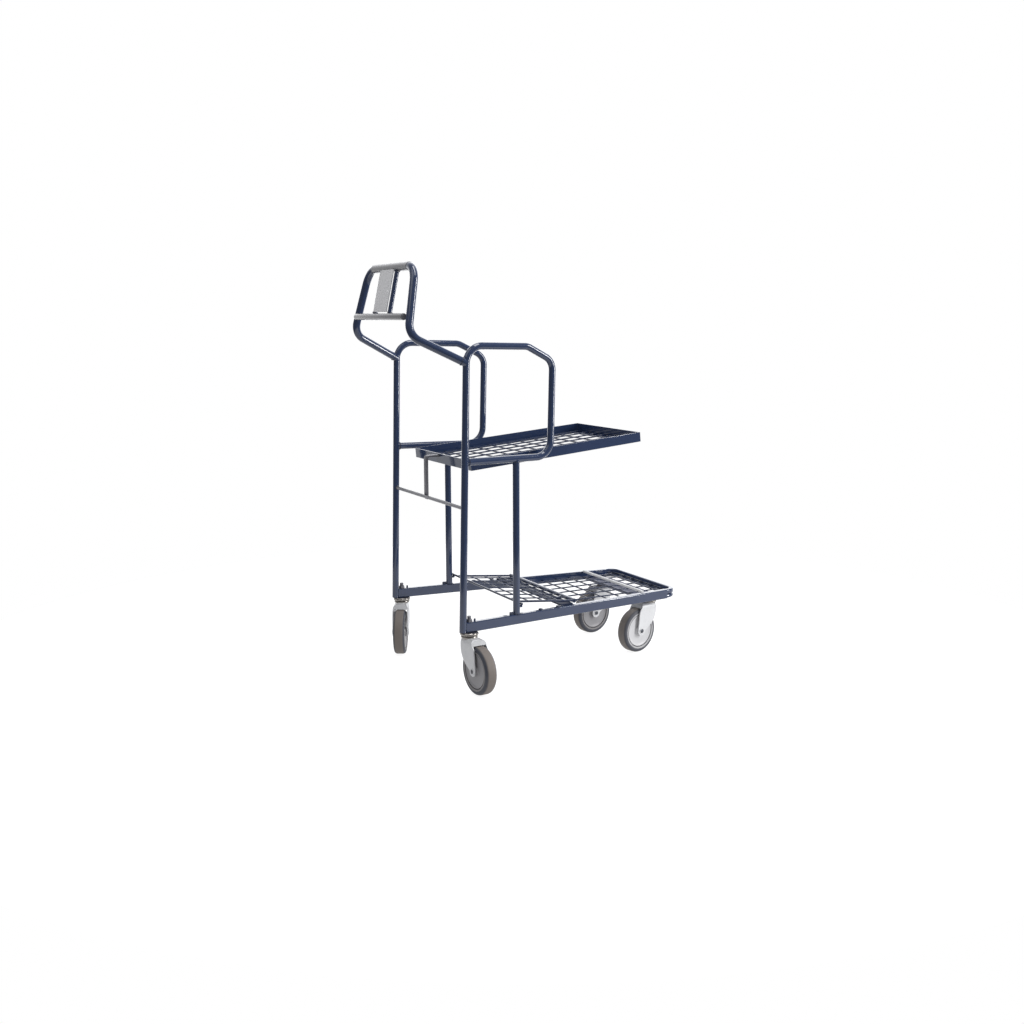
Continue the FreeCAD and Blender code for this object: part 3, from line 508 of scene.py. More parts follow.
def joined(name, pieces):  # several meshes become one piece
    shape = bmesh.new()
    slots = []
    mesh = bpy.data.meshes.new(name)
    for piece in pieces:
        remap = []
        for material in piece.data.materials:
            if material not in slots:
                slots.append(material)
            remap.append(slots.index(material))
        for face in piece.data.polygons:
            face.material_index = remap[face.material_index] if remap else 0
        shape.from_mesh(piece.data)
        bpy.data.objects.remove(piece)
    shape.to_mesh(mesh)
    shape.free()
    for material in slots:
        mesh.materials.append(material)
    return addObject(name, mesh)


def place(piece, body, slot, *nodes):
    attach(piece, body)
    if nodes:
        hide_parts(*nodes)


# side frames: post and loop are one bent tube that leans forward in a tapered plane
sideFrame = {"halfWidth": 222.0, "taper": 5.302, "lean": 1.44, "foot": 152.5, "tubeRadius": 9.25,
             "footGap": 0.6, "top": 726.8, "shoulder": 182.3, "front": 261.3, "drop": 690.2,
             "lowFront": 442.3, "lowRear": 437.9, "lowStart": 4.0, "rearBend": 45.0, "shoulderBend": 40.0,
             "frontBend": 38.0, "uprightRun": 164.0, "uprightTop": 588.0, "uprightFoot": 178.5}
taper = math.radians(sideFrame["taper"])


def halfAt(run):
    return sideFrame["halfWidth"] - run * math.tan(taper)


def flatSide(sign):
    return at(0, sign * sideFrame["halfWidth"], sideFrame["foot"]) @ turn("Z", -sign * sideFrame["taper"])


def onSide(sign, along, up):  # a point in the leaning plane of one side
    return flatSide(sign) @ turn("Y", sideFrame["lean"]) @ Vector((along * mm, 0, up * mm))


# weld beads on the frame; a ring's two values are its distance from the end of the tube and its radius
welds = {"beadRadius": 1.5, "beadStep": 1.7, "seed": 7, "uprightFoot": (0.8, 9.7), "uprightTop": (7.5, 9.4),
         "loopEnd": (9.9, 9.4), "strut": (4.5, 6.4), "handleFoot": (12.0, 10.4), "rod": (5.8, 4.9)}
beads = []  # filled as the pieces are made
for side, sign in sideSigns.items():
    f = sideFrame
    corners = [(0, f["footGap"], 0), (0, f["top"], f["rearBend"]),
               (f["shoulder"], f["top"], f["shoulderBend"]), (f["front"], f["drop"], f["frontBend"]),
               (f["front"], f["lowFront"], f["rearBend"]), (f["lowStart"], f["lowRear"], 0)]
    path = [(onSide(sign, along, up), bend) for along, up, bend in corners]
    made = tube(side + "SideTube", [path], f["tubeRadius"], "navy", 40, 16)
    place(made, "frame", "navy_paint", side + "_post", side + "_loop")
    foot = spot(f["uprightRun"], sign * halfAt(f["uprightRun"]), f["uprightFoot"])
    head = spot(f["uprightRun"], sign * halfAt(f["uprightRun"]), f["uprightTop"])
    made = tube(side + "MiddleUpright", [[foot, head]], f["tubeRadius"], "navy", 40)
    place(made, "frame", "navy_paint", side + "_upright")
    upward = Vector((0, 0, 1))
    rise, radius = welds["uprightFoot"]
    beads.append(ringPath(foot + upward * (rise * mm), upward, radius))
    drop, radius = welds["uprightTop"]
    beads.append(ringPath(head - upward * (drop * mm), upward, radius))
    ahead, radius = welds["loopEnd"]
    forward = onSide(sign, 1, 0) - onSide(sign, 0, 0)
    beads.append(ringPath(onSide(sign, ahead, f["lowRear"]), forward, radius))
print("side frames made")

# deck: box beams with rounded edges, front bow, cross pieces
deck = {"low": 152.5, "high": 178.5, "beamHalf": 8.0, "beamStart": 6.0, "beamEnd": 679.0, "beamEdge": 2.2,
        "bowRun": 708.0, "bowBend": 28.0, "bowRadius": 6.45, "bowPitch": 13.0, "lipCorner": 3.0,
        "bowLap": 3.0, "bandRear": 309.5, "bandFront": 349.0, "bandHalf": 187.0, "bandEdge": 0.9,
        "sheet": 4.0, "barRun": 596.0, "barLevel": 179.5, "barHalf": 158.2, "barRadius": 4.0,
        "plateRear": 602.0, "plateCorner": 640.0, "plateFront": 672.0, "plateFrontHalf": 136.0,
        "plateEdge": 0.5, "plateGap": 0.02}
# tabs on the beams: start and end along the beam, half width, rise above it
beamTabs = {"spots": ((143.5, 154.5, 3.0, 7.5), (237.0, 246.5, 4.0, 4.5), (294.0, 303.5, 4.0, 4.5),
                      (33.0, 38.0, 2.0, 7.0)), "sink": 0.5, "edge": 1.4}
beamHigh = deck["high"] - deck["low"]
for side, sign in sideSigns.items():
    low, high = (deck["beamStart"], -deck["beamHalf"], 0), (deck["beamEnd"], deck["beamHalf"], beamHigh)
    made = bevelBox(side + "Beam", low, high, deck["beamEdge"], flatSide(sign), "navy", 4)
    place(made, "frame", "navy_paint", side + "_beam")
beamFront = deck["beamEnd"] * math.cos(taper)


def bowCorners(level):
    rear, front = beamFront - deck["bowLap"], deck["bowRun"]
    return [spot(run, sign * halfAt(run), level) for sign, run in
            ((-1, rear), (-1, front), (1, front), (1, rear))]


rearRight, right, left, rearLeft = bowCorners(deck["high"] - deck["bowPitch"] / 2)
bow = [rearRight] + bendPoints(rearRight, right, left, deck["bowBend"], 1) \
    + bendPoints(right, left, rearLeft, deck["bowBend"], 1) + [rearLeft]
lipSize = 2 * deck["bowRadius"]
made = sweptBar("frontLip", bow, lipSize, lipSize, deck["lipCorner"], "navy")
place(made, "frame", "navy_paint", "front_rim")
bends = (0, deck["bowBend"], deck["bowBend"], 0)
bow = list(zip(bowCorners(deck["high"] - deck["bowPitch"] * 1.5), bends))
made = tube("frontBumper", [bow], deck["bowRadius"], "navy", 28, 12)
place(made, "frame", "navy_paint", "front_bumper")
bandLow = (deck["bandRear"] + postRun, -deck["bandHalf"], deck["high"])
bandHigh = (deck["bandFront"] + postRun, deck["bandHalf"], deck["high"] + deck["sheet"])
made = bevelBox("hingeBand", bandLow, bandHigh, deck["bandEdge"], Matrix.Identity(4), "band")
place(made, "frame", "navy_paint", "hinge_band")
inset = deck["beamHalf"] / math.cos(taper) + deck["plateGap"]
rearHalf, cornerHalf = [halfAt(deck[key]) - inset for key in ("plateRear", "plateCorner")]
rightEdge = [(deck["plateRear"], -rearHalf), (deck["plateCorner"], -cornerHalf),
             (deck["plateFront"], -deck["plateFrontHalf"])]
outline = rightEdge + [(run, -y) for run, y in reversed(rightEdge)]
sheetPlace = at(0, 0, deck["low"] + deck["sheet"] / 2)
# the caster plate is zinc; its dark bluish colour is painted shade
made = flatPlate("casterPlate", [outline], deck["sheet"], deck["plateEdge"], sheetPlace, "shadedSheetSteel")
place(made, "frame", "zinc", "caster_plate")
barEnds = [spot(deck["barRun"], sign * deck["barHalf"], deck["barLevel"]) for sign in (-1, 1)]
place(tube("deckBar", [barEnds], deck["barRadius"], "paleBar", 28), "frame", "zinc", "deck_bar")
tabs = []
for side, sign in sideSigns.items():
    for start, end, half, rise in beamTabs["spots"]:
        low, high = (start, -half, beamHigh - beamTabs["sink"]), (end, half, beamHigh + rise)
        tabs.append(bevelBox("tab", low, high, beamTabs["edge"], flatSide(sign), "weld"))
place(joined("beamTabs", tabs), "frame", "navy_paint")
print("deck made")

# welded wire grids: long wires above, cross wires below
grid = {"pitchLong": 45.0, "pitchCross": 48.0, "wireRadius": 2.1, "flapRadius": 1.9, "layer": 0.9,
        "shortest": 10.0, "edgeRadius": 3.0}


def wireGrid(name, matrix, wires, spanX, spanY, radius):
    paths = []
    upper, lower = wires["level"] + grid["layer"], wires["level"] - grid["layer"]
    for i in range(wires["rows"]):
        y = wires["firstRow"] + grid["pitchCross"] * i
        low, high = spanX(y)
        if high - low > grid["shortest"]:
            paths.append([matrix @ Vector((x * mm, y * mm, upper * mm)) for x in (low, high)])
    for i in range(wires["columns"]):
        x = wires["firstColumn"] + grid["pitchLong"] * i
        low, high = spanY(x)
        paths.append([matrix @ Vector((x * mm, y * mm, lower * mm)) for y in (low, high)])
    return tube(name, paths, radius, "wire", 12)


shelf = {"run": 48.9, "level": 586.7, "slope": 5.18, "long": 528.7, "halfRear": 175.5, "halfFront": 165.4,
         "high": 26.5, "leg": 20.0, "thick": 2.5, "edge": 0.7}
shelfWires = {"level": -22.0, "inset": 3.0, "firstRow": -144.0, "rows": 7, "firstColumn": 45.0,
              "columns": 11}
shelfPlace = at(shelf["run"], 0, shelf["level"]) @ turn("Y", -shelf["slope"])
shelfTaper = (shelf["halfRear"] - shelf["halfFront"]) / shelf["long"]


def shelfHalf(x):
    return shelf["halfRear"] - shelfTaper * x


inset = shelfWires["inset"]
made = wireGrid("shelfGrid", shelfPlace, shelfWires, lambda y: (inset, shelf["long"] - inset),
                lambda x: (inset - shelfHalf(x), shelfHalf(x) - inset), grid["wireRadius"])
place(made, "frame", "navy_paint", "shelf_grid")


def angleFrame(name):  # an angle iron mitred round the four corners
    low, leg, thick = -shelf["high"], shelf["leg"], shelf["thick"]
    section = [(0, 0), (0, low), (leg, low), (leg, low + thick), (thick, low + thick), (thick, 0)]
    shape = bmesh.new()
    loops = []
    for inset, level in section:
        near, far = inset, shelf["long"] - inset
        nearHalf, farHalf = shelfHalf(near) - inset, shelfHalf(far) - inset
        corners = [(near, -nearHalf), (far, -farHalf), (far, farHalf), (near, nearHalf)]
        loops.append([shape.verts.new((x * mm, y * mm, level * mm)) for x, y in corners])
    for here, after in zip(loops, loops[1:] + loops[:1]):
        for i in range(4):
            k = (i + 1) % 4
            shape.faces.new((here[i], here[k], after[k], after[i]))
    faceOutwards(shape)
    bmesh.ops.bevel(shape, geom=list(shape.edges), offset=shelf["edge"] * mm, segments=3, profile=0.5,
                    affect="EDGES")
    shape.normal_update()
    flattenSides(shape)
    transform(shape, shelfPlace)
    return meshObject(name, shape, "navy", 35, True)


place(angleFrame("shelfRim"), "frame", "navy_paint", "shelf_rim_right", "shelf_rim_left", "shelf_rim_rear",
      "shelf_rim_front")

# rowGap and columnGap are measured from the middle of the beams
deckWires = {"level": 164.0, "rear": 350.0, "front": 702.0, "cornerFront": 688.0, "cornerSide": 130.0,
             "rowGap": 8.1, "columnGap": 7.0, "firstRow": -192.0, "rows": 9, "firstColumn": 366.0,
             "columns": 8}


def deckSpanX(y):
    inside = sideFrame["halfWidth"] - deckWires["rowGap"] - abs(y)
    front = deckWires["front"] if abs(y) < deckWires["cornerSide"] else deckWires["cornerFront"]
    return deckWires["rear"], min(front, inside / math.tan(taper))


def deckSpanY(x):
    half = halfAt(x) - deckWires["columnGap"]
    return -half, half


made = wireGrid("deckGrid", at(0, 0, 0), deckWires, deckSpanX, deckSpanY, grid["wireRadius"])
place(made, "frame", "navy_paint", "deck_grid")

flap = {"hingeRun": 356.0, "hingeLevel": 187.0, "rodRun": 177.0, "rodLevel": 205.0, "rodHalf": 214.0,
        "sideHalf": 180.0, "frontGap": 4.0}
rise, reach = flap["rodLevel"] - flap["hingeLevel"], flap["hingeRun"] - flap["rodRun"]
flapLong = math.hypot(rise, reach)
flapPlace = at(flap["hingeRun"], 0, flap["hingeLevel"]) @ turn("Y", math.degrees(math.atan2(rise, reach)))
flapWires = {"level": 0.0, "firstRow": -144.0, "rows": 7, "firstColumn": 43.0 - flapLong, "columns": 3}
flapEnds, sideEnds = (-flapLong, -flap["frontGap"]), (-flap["sideHalf"], flap["sideHalf"])
made = wireGrid("flapGrid", flapPlace, flapWires, lambda y: flapEnds, lambda x: sideEnds,
                grid["flapRadius"])
place(made, "flap", "navy_paint", "flap_grid")
edges = [[flapPlace @ Vector((x * mm, y * mm, 0)) for x in flapEnds] for y in sideEnds]
edges.append([flapPlace @ Vector((-flapLong * mm, sign * flap["rodHalf"] * mm, 0)) for sign in (-1, 1)])
made = tube("flapEdge", edges, grid["edgeRadius"], "wire", 18)
place(made, "flap", "navy_paint", "flap_rod", "flap_wires")
print("grids made")

# handle: bent tube with a grey sleeve on its top bar, grip bar and plate
# foot, low and top are corners of the tube as run, half width and level
handle = {"tubeRadius": 10.5, "foot": (17.0, 221.0, 836.0), "low": (-121.0, 183.2, 905.0),
          "top": (-84.9, 151.3, 1074.0), "lowBend": 42.0, "topBend": 50.0, "sleeveRadius": 11.1,
          "sleeveTurns": (0.1, 0.06), "gripRun": -122.0, "gripLevel": 950.0, "gripRadius": 8.5,
          "gripHalf": 161.0, "gripRound": 2.2, "strutSide": 49.0, "strutRadius": 6.0, "strutBack": 3.4,
          "strutInset": 6.0, "plateWide": 86.0, "plateLong": 108.0, "plateThick": 2.0, "plateCorner": 4.0,
          "plateEdge": 0.35, "plateLevel": 1013.0, "holeGap": 56.0, "holeRadius": 3.0, "holeSteps": 48}
corners = []
for sign, order in ((-1, ("foot", "low", "top")), (1, ("top", "low", "foot"))):
    for key in order:
        run, half, level = handle[key]
        bend = {"foot": 0, "low": handle["lowBend"], "top": handle["topBend"]}[key]
        corners.append((spot(run, sign * half, level), bend))
made = tube("handleTube", [corners], handle["tubeRadius"], "navy", 40, 18)
place(made, "frame", "navy_paint", "handle_tube")
legSlope = (handle["top"][0] - handle["low"][0]) / (handle["top"][2] - handle["low"][2])
legLean = math.degrees(math.atan(legSlope))


def legRun(level):
    return handle["low"][0] + legSlope * (level - handle["low"][2])


topRun, topLevel = handle["top"][0], handle["top"][2]
topRight, topLeft = [spot(topRun, sign * handle["top"][1], topLevel) for sign in (-1, 1)]
lowRight, lowLeft = [spot(handle["low"][0], sign * handle["low"][1], handle["low"][2]) for sign in (-1, 1)]
nearTurn, farTurn = handle["sleeveTurns"]
wrap = list(reversed(bendPoints(topLeft, topRight, lowRight, handle["topBend"], nearTurn)))
wrap += bendPoints(topRight, topLeft, lowLeft, handle["topBend"], farTurn)
place(tube("topSleeve", [wrap], handle["sleeveRadius"], "sleeve", 40), "frame", "grey_sleeve", "top_sleeve")
gripEnd, gripOut, gripRound = handle["gripHalf"], handle["gripRadius"], handle["gripRound"]
gripSide = [(0, gripEnd)] + arc((gripOut - gripRound, gripEnd - gripRound), gripRound, 90, 0, 6)
gripProfile = [(r, -y) for r, y in gripSide] + list(reversed(gripSide))
gripPlace = at(handle["gripRun"], 0, handle["gripLevel"]) @ turn("X", 90)
place(lathe("gripBar", gripProfile, gripPlace, "sleeve", 48), "frame", "grey_sleeve", "grip_bar")
strutLevels = (handle["gripLevel"] + handle["strutInset"], topLevel - handle["strutInset"])
struts = [[spot(legRun(level) - handle["strutBack"], sign * handle["strutSide"], level)
           for level in strutLevels] for sign in (-1, 1)]
place(tube("plateBars", struts, handle["strutRadius"], "navy", 28), "frame", "navy_paint", "plate_bars")
behind = handle["strutBack"] * math.cos(math.radians(legLean)) \
    + handle["strutRadius"] + handle["plateThick"] / 2
platePlace = at(legRun(handle["plateLevel"]), 0, handle["plateLevel"]) @ turn("Y", legLean) \
    @ Matrix.Translation((-behind * mm, 0, 0)) @ turn("Y", -90) @ turn("Z", 90)
outlines = [roundedRectangle(handle["plateWide"], handle["plateLong"], handle["plateCorner"])]
lastTurn = 360 - 360 / handle["holeSteps"]
for sign in (-1, 1):
    middle = (sign * handle["holeGap"] / 2, 0)
    outlines.append(arc(middle, handle["holeRadius"], 0, lastTurn, handle["holeSteps"] - 1))
made = flatPlate("infoPlate", outlines, handle["plateThick"], handle["plateEdge"], platePlace, "plate")
place(made, "frame", "plate", "info_plate")
inset, radius = welds["strut"]
for start, end in struts:
    shift = (end - start).normalized() * (inset * mm)
    beads += [ringPath(middle, end - start, radius, 16) for middle in (start + shift, end - shift)]
inset, radius = welds["handleFoot"]
for sign in (-1, 1):
    foot, low = [spot(handle[key][0], sign * handle[key][1], handle[key][2]) for key in ("foot", "low")]
    beads.append(ringPath(foot + (low - foot).normalized() * (inset * mm), low - foot, radius, 24))

# cross rod between the posts and the shelf's rear stay
rod = {"level": 472.3, "radius": 4.5, "inset": 4.0}
rodRun = (rod["level"] - sideFrame["foot"]) * math.tan(math.radians(sideFrame["lean"]))
rodEnds = [spot(rodRun, sign * (sideFrame["halfWidth"] - rod["inset"]), rod["level"]) for sign in (-1, 1)]
place(tube("crossRod", [rodEnds], rod["radius"], "rodSteel", 28), "frame", "zinc", "cross_rod")
inset, radius = welds["rod"]
for sign, end in zip((-1, 1), rodEnds):
    beads.append(ringPath(end - Vector((0, sign * inset * mm, 0)), Vector((0, 1, 0)), radius, 14))
stay = {"run": 10.6, "side": 21.0, "wide": 19.5, "thick": 3.5, "low": 466.0, "top": 583.0, "reach": 50.0,
        "bend": 5.0, "tip": 3.0, "edge": 0.6}
rear, thick, tipLevel = stay["run"], stay["thick"], stay["low"] + stay["tip"]
inner, outer = stay["bend"], stay["bend"] + thick
elbow = (rear + outer, stay["top"] - outer)
outline = [(rear, tipLevel), (rear + thick / 2, stay["low"]), (rear + thick, tipLevel)]
outline += arc(elbow, inner, 180, 90, 8)
outline += [(stay["reach"], stay["top"] - thick), (stay["reach"], stay["top"])]
outline += arc(elbow, outer, 90, 180, 8)
stayPlace = at(0, stay["side"], 0) @ turn("X", 90)
made = flatPlate("shelfStay", [outline], stay["wide"], stay["edge"], stayPlace, "strapSteel")
place(made, "frame", "zinc", "shelf_stay")
print("handle, rod and stay made")

# casters: rear and front are the run and half width of the stems, turns are in degrees
caster = {"wheelRadius": 62.5, "tyreHalf": 16.0, "tyreRound": 8.0, "gap": 38.0, "sheet": 3.0, "eye": 13.0,
          "trail": 50.0, "top": 140.0, "back": 48.0, "tuck": 2.5, "tuckStart": -24.0, "tuckReach": 37.0,
          "shoulder": 10.0, "sheetEdge": 0.7, "apronLow": 127.0, "apronBack": 0.9, "apronSheet": 1.8,
          "shankRadius": 3.95, "shankInset": 2.5, "rear": (19.0, 220.0), "front": (645.0, 119.0),
          # the rear wheels and the far front wheel take the darker tyre and hub copies: painted shade
          "finishes": {"right_rear": ("shadedTyre", "shadedHub"), "left_rear": ("shadedTyre", "shadedHub"),
                       "right_front": ("tyre", "hub"), "left_front": ("shadedTyre", "shadedHub")},
          "turns": {"right_rear": -85.5, "left_rear": -119.0, "right_front": -168.0, "left_front": -171.0}}
# the fork from the side: how its back edge bulges and its front edge leans and bows
forkLine = {"high": 71.5, "backPower": 2.9, "hook": 1.5, "frontLean": 8.0, "bowStart": 118.0,
            "bowSlope": 0.42, "bowCurve": 0.012}
# turned profiles as radius and height, the tyre's height from its side face
turned = {"tyre": ((44.0, -1.6), (44.9, -1.8), (45.5, -3.6), (46.7, -3.6), (47.3, -0.8), (48.3, 0.0),
                   (51.2, 0.0), (52.2, 0.0)),
          # zone 1 marks the groove and the shoulder, which take the tyre's painted shade colour
          "tyreZones": (0.0, 0.0, 1.0, 1.0, 0.0, 0.0, 0.0, 0.9, 1, 1, 1, 1, 1, 1.2, 1.6, 2, 2),
          "hub": ((6.1, 17.0), (12.6, 17.0), (13.6, 16.4), (14.2, 14.0), (15.6, 12.8), (17.0, 12.5),
                  (37.0, 12.5), (39.4, 12.9), (41.4, 13.9), (42.6, 14.3), (44.0, 14.4)),
          "flange": ((5.9, -0.5), (8.6, -0.5), (8.6, 0.6), (8.0, 1.4), (7.2, 1.8), (6.4, 1.6), (5.9, 0.6)),
          "core": ((0, -3.0), (5.8, -3.0), (5.8, 0.3), (4.8, 1.1), (2.8, 1.6), (0, 1.7)),
          "crown": ((5.2, 137.2), (18, 137.2), (20.4, 138.0), (21.7, 139.6), (22, 141.2), (21.4, 142.8),
                    (20.0, 143.7), (18.2, 143.8), (5.2, 143.8)),
          "race": ((5.0, 144.6), (20.2, 144.6), (22.6, 145.2), (23.8, 146.6), (24.0, 148.5), (23.4, 150.8),
                   (21.8, 152.2), (19.5, 152.5), (5.0, 152.5))}


def bothFaces(face):
    return list(face) + [(r, -z) for r, z in reversed(face)]


def wheel(name, body, axle, nodes, rubber, disc):
    half, rim, rounding = caster["tyreHalf"], caster["wheelRadius"], caster["tyreRound"]
    face = [(r, half + z) for r, z in turned["tyre"]]
    face += arc((rim - rounding, half - rounding), rounding, 90, 0, 8)
    zones = list(turned["tyreZones"])
    spun = axle @ turn("X", 90)
    tyre = lathe(name + "Tyre", bothFaces(face), spun, rubber, 112, zones + list(reversed(zones)))
    place(tyre, body, "tyre", nodes[0])
    place(lathe(name + "Hub", bothFaces(turned["hub"]), spun, disc, 112), body, "hub", nodes[1])


def thickSheet(name, shape, strips, matrix, finish, thick, edge=0.0):
    # strips of points are joined to a surface, which then gets its thickness
    for here, after in zip(strips, strips[1:]):
        for j in range(len(here) - 1):
            shape.faces.new((here[j], here[j + 1], after[j + 1], after[j]))
    faceOutwards(shape)
    transform(shape, matrix)
    source = meshObject(name + "Sheet", shape, finish)
    solid = source.modifiers.new("thickness", "SOLIDIFY")
    solid.thickness = thick * mm
    solid.offset = 0.0
    if edge:
        soft = source.modifiers.new("edges", "BEVEL")
        soft.width = edge * mm
        soft.segments = 2
        soft.limit_method = "ANGLE"
        soft.angle_limit = math.radians(50)
    return finished(name, source, 40)


def forkEdge(z):  # nearly straight in front, a bulging back edge that carries the crown
    t = min(1.0, max(0.0, (z - caster["wheelRadius"]) / forkLine["high"]))
    bow = max(0.0, z - forkLine["bowStart"])
    bulge = caster["back"] * (1 - (1 - t) ** forkLine["backPower"])
    rear = -caster["eye"] - bulge + forkLine["hook"] * t ** 6
    front = caster["eye"] - forkLine["frontLean"] * t - forkLine["bowSlope"] * bow \
        - forkLine["bowCurve"] * bow * bow
    return rear, front


def pressedFork(name, axle):  # one bent sheet: cheek, crown and cheek, narrowing to a round eye
    eye, sheet, bend, axleLevel = caster["eye"], caster["sheet"], caster["shoulder"], caster["wheelRadius"]
    middle, topLevel = caster["gap"] / 2 + sheet / 2, caster["top"]
    springing = topLevel - bend - sheet / 2
    eyeSteps, cheekSteps, bendSteps, across, tip = 12, 14, 8, 12, 0.6
    half = []
    for i in range(eyeSteps + 1):
        half.append((middle, axleLevel - eye * math.cos(math.radians(90 * i / eyeSteps)), True))
    for i in range(1, cheekSteps + 1):
        half.append((middle, axleLevel + (springing - axleLevel) * i / cheekSteps, False))
    for i in range(1, bendSteps + 1):
        angle = math.radians(90 * i / bendSteps)
        half.append((middle - bend + bend * math.cos(angle), springing + bend * math.sin(angle), False))
    half += [(middle * k / 6, topLevel - sheet / 2, False) for k in (4, 2, 0)]
    line = half + [(-y, z, inEye) for y, z, inEye in reversed(half[:-1])]
    shape = bmesh.new()
    strips = []
    for y, z, inEye in line:
        if inEye:
            reach = max(math.sqrt(max(0.0, eye * eye - (axleLevel - z) ** 2)), tip)
            rear, front = -reach, reach
        else:
            rear, front = forkEdge(z)
        strip = []
        rise = max(0.0, (z - axleLevel) / (topLevel - axleLevel))
        for j in range(across + 1):
            x = rear + (front - rear) * j / across
            behind = max(0.0, (caster["tuckStart"] - x) / caster["tuckReach"])
            tuck = caster["tuck"] * rise * behind ** 2  # the back edge curls inwards
            inward = 1 - tuck / middle if abs(y) > 1 else 1
            strip.append(shape.verts.new((x * mm, y * inward * mm, (z - axleLevel) * mm)))
        strips.append(strip)
    return thickSheet(name, shape, strips, axle, "zinc", sheet, caster["sheetEdge"])


def forkApron(name, axle):  # the short wall that closes the fork's dome in front of the crown
    sheet, bend, axleLevel = caster["sheet"], caster["shoulder"], caster["wheelRadius"]
    middle, low = caster["gap"] / 2 + sheet / 2, caster["apronLow"]
    inner, springing = middle - bend, caster["top"] - bend - sheet / 2
    sideSteps, levelSteps = 9, 7
    shape = bmesh.new()
    strips = []
    for i in range(2 * sideSteps + 1):
        y = middle * (i - sideSteps) / sideSteps
        side = max(0.0, abs(y) - inner)
        high = springing + math.sqrt(max(0.0, bend * bend - side * side))
        strip = []
        for j in range(levelSteps + 1):
            z = low + (high - low) * j / levelSteps
            x = forkEdge(z)[1] - caster["apronBack"]
            strip.append(shape.verts.new((x * mm, y * mm, (z - axleLevel) * mm)))
        strips.append(strip)
    return thickSheet(name, shape, strips, axle, "shadedZinc", caster["apronSheet"])


def axleSet(name, axle, body, node):  # a flanged rivet with a dark domed core at each end
    reach = caster["gap"] / 2 + caster["sheet"]
    ends = []
    for sign in (-1, 1):
        outward = (axle.to_3x3() @ Vector((0, sign, 0))).normalized()
        facing = outward.to_track_quat("Z", "X").to_matrix().to_4x4()
        seat = Matrix.Translation(axle @ Vector((0, sign * reach * mm, 0))) @ facing
        ends.append(lathe(name + "Flange", turned["flange"], seat, "zinc", 40))
        ends.append(lathe(name + "Core", turned["core"], seat, "darkSteel", 32))
    shank = [axle @ Vector((0, sign * (reach - caster["shankInset"]) * mm, 0)) for sign in (-1, 1)]
    ends.append(tube(name + "Shank", [shank], caster["shankRadius"], "steel", 24))
    place(joined(name, ends), body, "zinc", node)


for end in ("rear", "front"):
    run, half = caster[end]
    races = []
    for side, sign in sideSigns.items():
        label, name = side + "_" + end, side + end.capitalize()
        base = at(run, sign * half, 0)
        pivot = base @ turn("Z", caster["turns"][label])
        axle = pivot @ Matrix.Translation((caster["trail"] * mm, 0, caster["wheelRadius"] * mm))
        wheel(name, label + "_wheel", axle, (label + "_tyre", label + "_hub"), *caster["finishes"][label])
        fork = pressedFork(name + "ForkSheet", axle)
        crown = lathe(name + "Crown", turned["crown"], pivot, "chrome", 64)
        apron = forkApron(name + "Apron", axle)
        place(joined(name + "Fork", [fork, apron, crown]), label + "_swivel", "zinc", label + "_fork")
        axleSet(name + "Axle", axle, label + "_swivel", label + "_axle")
        races.append(lathe(name + "Race", turned["race"], base, "chrome", 64))
    place(joined(end + "Races", races), "frame", "zinc", end + "_races")
stemNut = {"radius": 8.6, "high": 6.4, "chamfer": 0.9}
points = bpy.data.meshes.new("stemNutPoints")
run, half = caster["rear"]
points.from_pydata([spot(run, sign * half, deck["high"]) for sign in (-1, 1)], [], [])
points.attributes.new("axis", "FLOAT_VECTOR", "POINT").data.foreach_set("vector", [0, 0, 1] * 2)
values = {"Head Radius": stemNut["radius"] * mm, "Head Height": stemNut["high"] * mm,
          "Chamfer": stemNut["chamfer"] * mm, "Finish": finishes["strapSteel"]}
nuts = runTree("stemNuts", points, hexHead, values, 20)
place(nuts, "frame", "zinc", "rear_stem_nuts")
print("casters made")

values = {"Bead Radius": welds["beadRadius"] * mm, "Bead Step": welds["beadStep"] * mm,
          "Seed": welds["seed"], "Finish": finishes["weld"]}
place(runTree("frameWelds", pathMesh(beads), weldBead, values, 80), "frame", "navy_paint")
print("welds made")

# finishes of the CAD pieces that stay
looks = {"zinc": ("front_stems", "right_rear_spacer", "left_rear_spacer", "right_front_spacer",
                  "left_front_spacer"),
         "strapSteel": ("rear_stems",),
         # the hinge pin takes the band coat's painted shade
         "band": ("hinge_pin",),
         "navy": ("flap_studs", "hinge_lugs", "shelf_tabs", "flap_sleeves")}
for finish, names in looks.items():
    for name in names:
        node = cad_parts[name]
        node.data.materials.clear()
        node.data.materials.append(finishes[finish])

# floor, light and camera
studio = {"floorTone": (0.25, 0.25, 0.255), "floorPatches": (0.27, 0.27, 0.275), "floorRough": 0.8,
          "floorRadius": 1.7, "glowSpread": 0.4, "glowSeen": 0.48, "glowMirrored": 0.25, "skyLow": 0.2,
          "skyRise": 0.2, "skyTint": (0.98, 0.985, 1.0), "skySeen": 1.0, "backdrop": 1.8,
          "backdropAim": (0.56, 0.829, 0.0), "backdropEdge": (0.3, 0.985), "eye": (-1280.3, -2876.7, 947.0),
          "forward": (0.4664, 0.8697, -0.1616), "up": (0.0791, 0.1409, 0.9869), "lens": 41.75,
          "sensor": 36.0, "farthest": 100.0}
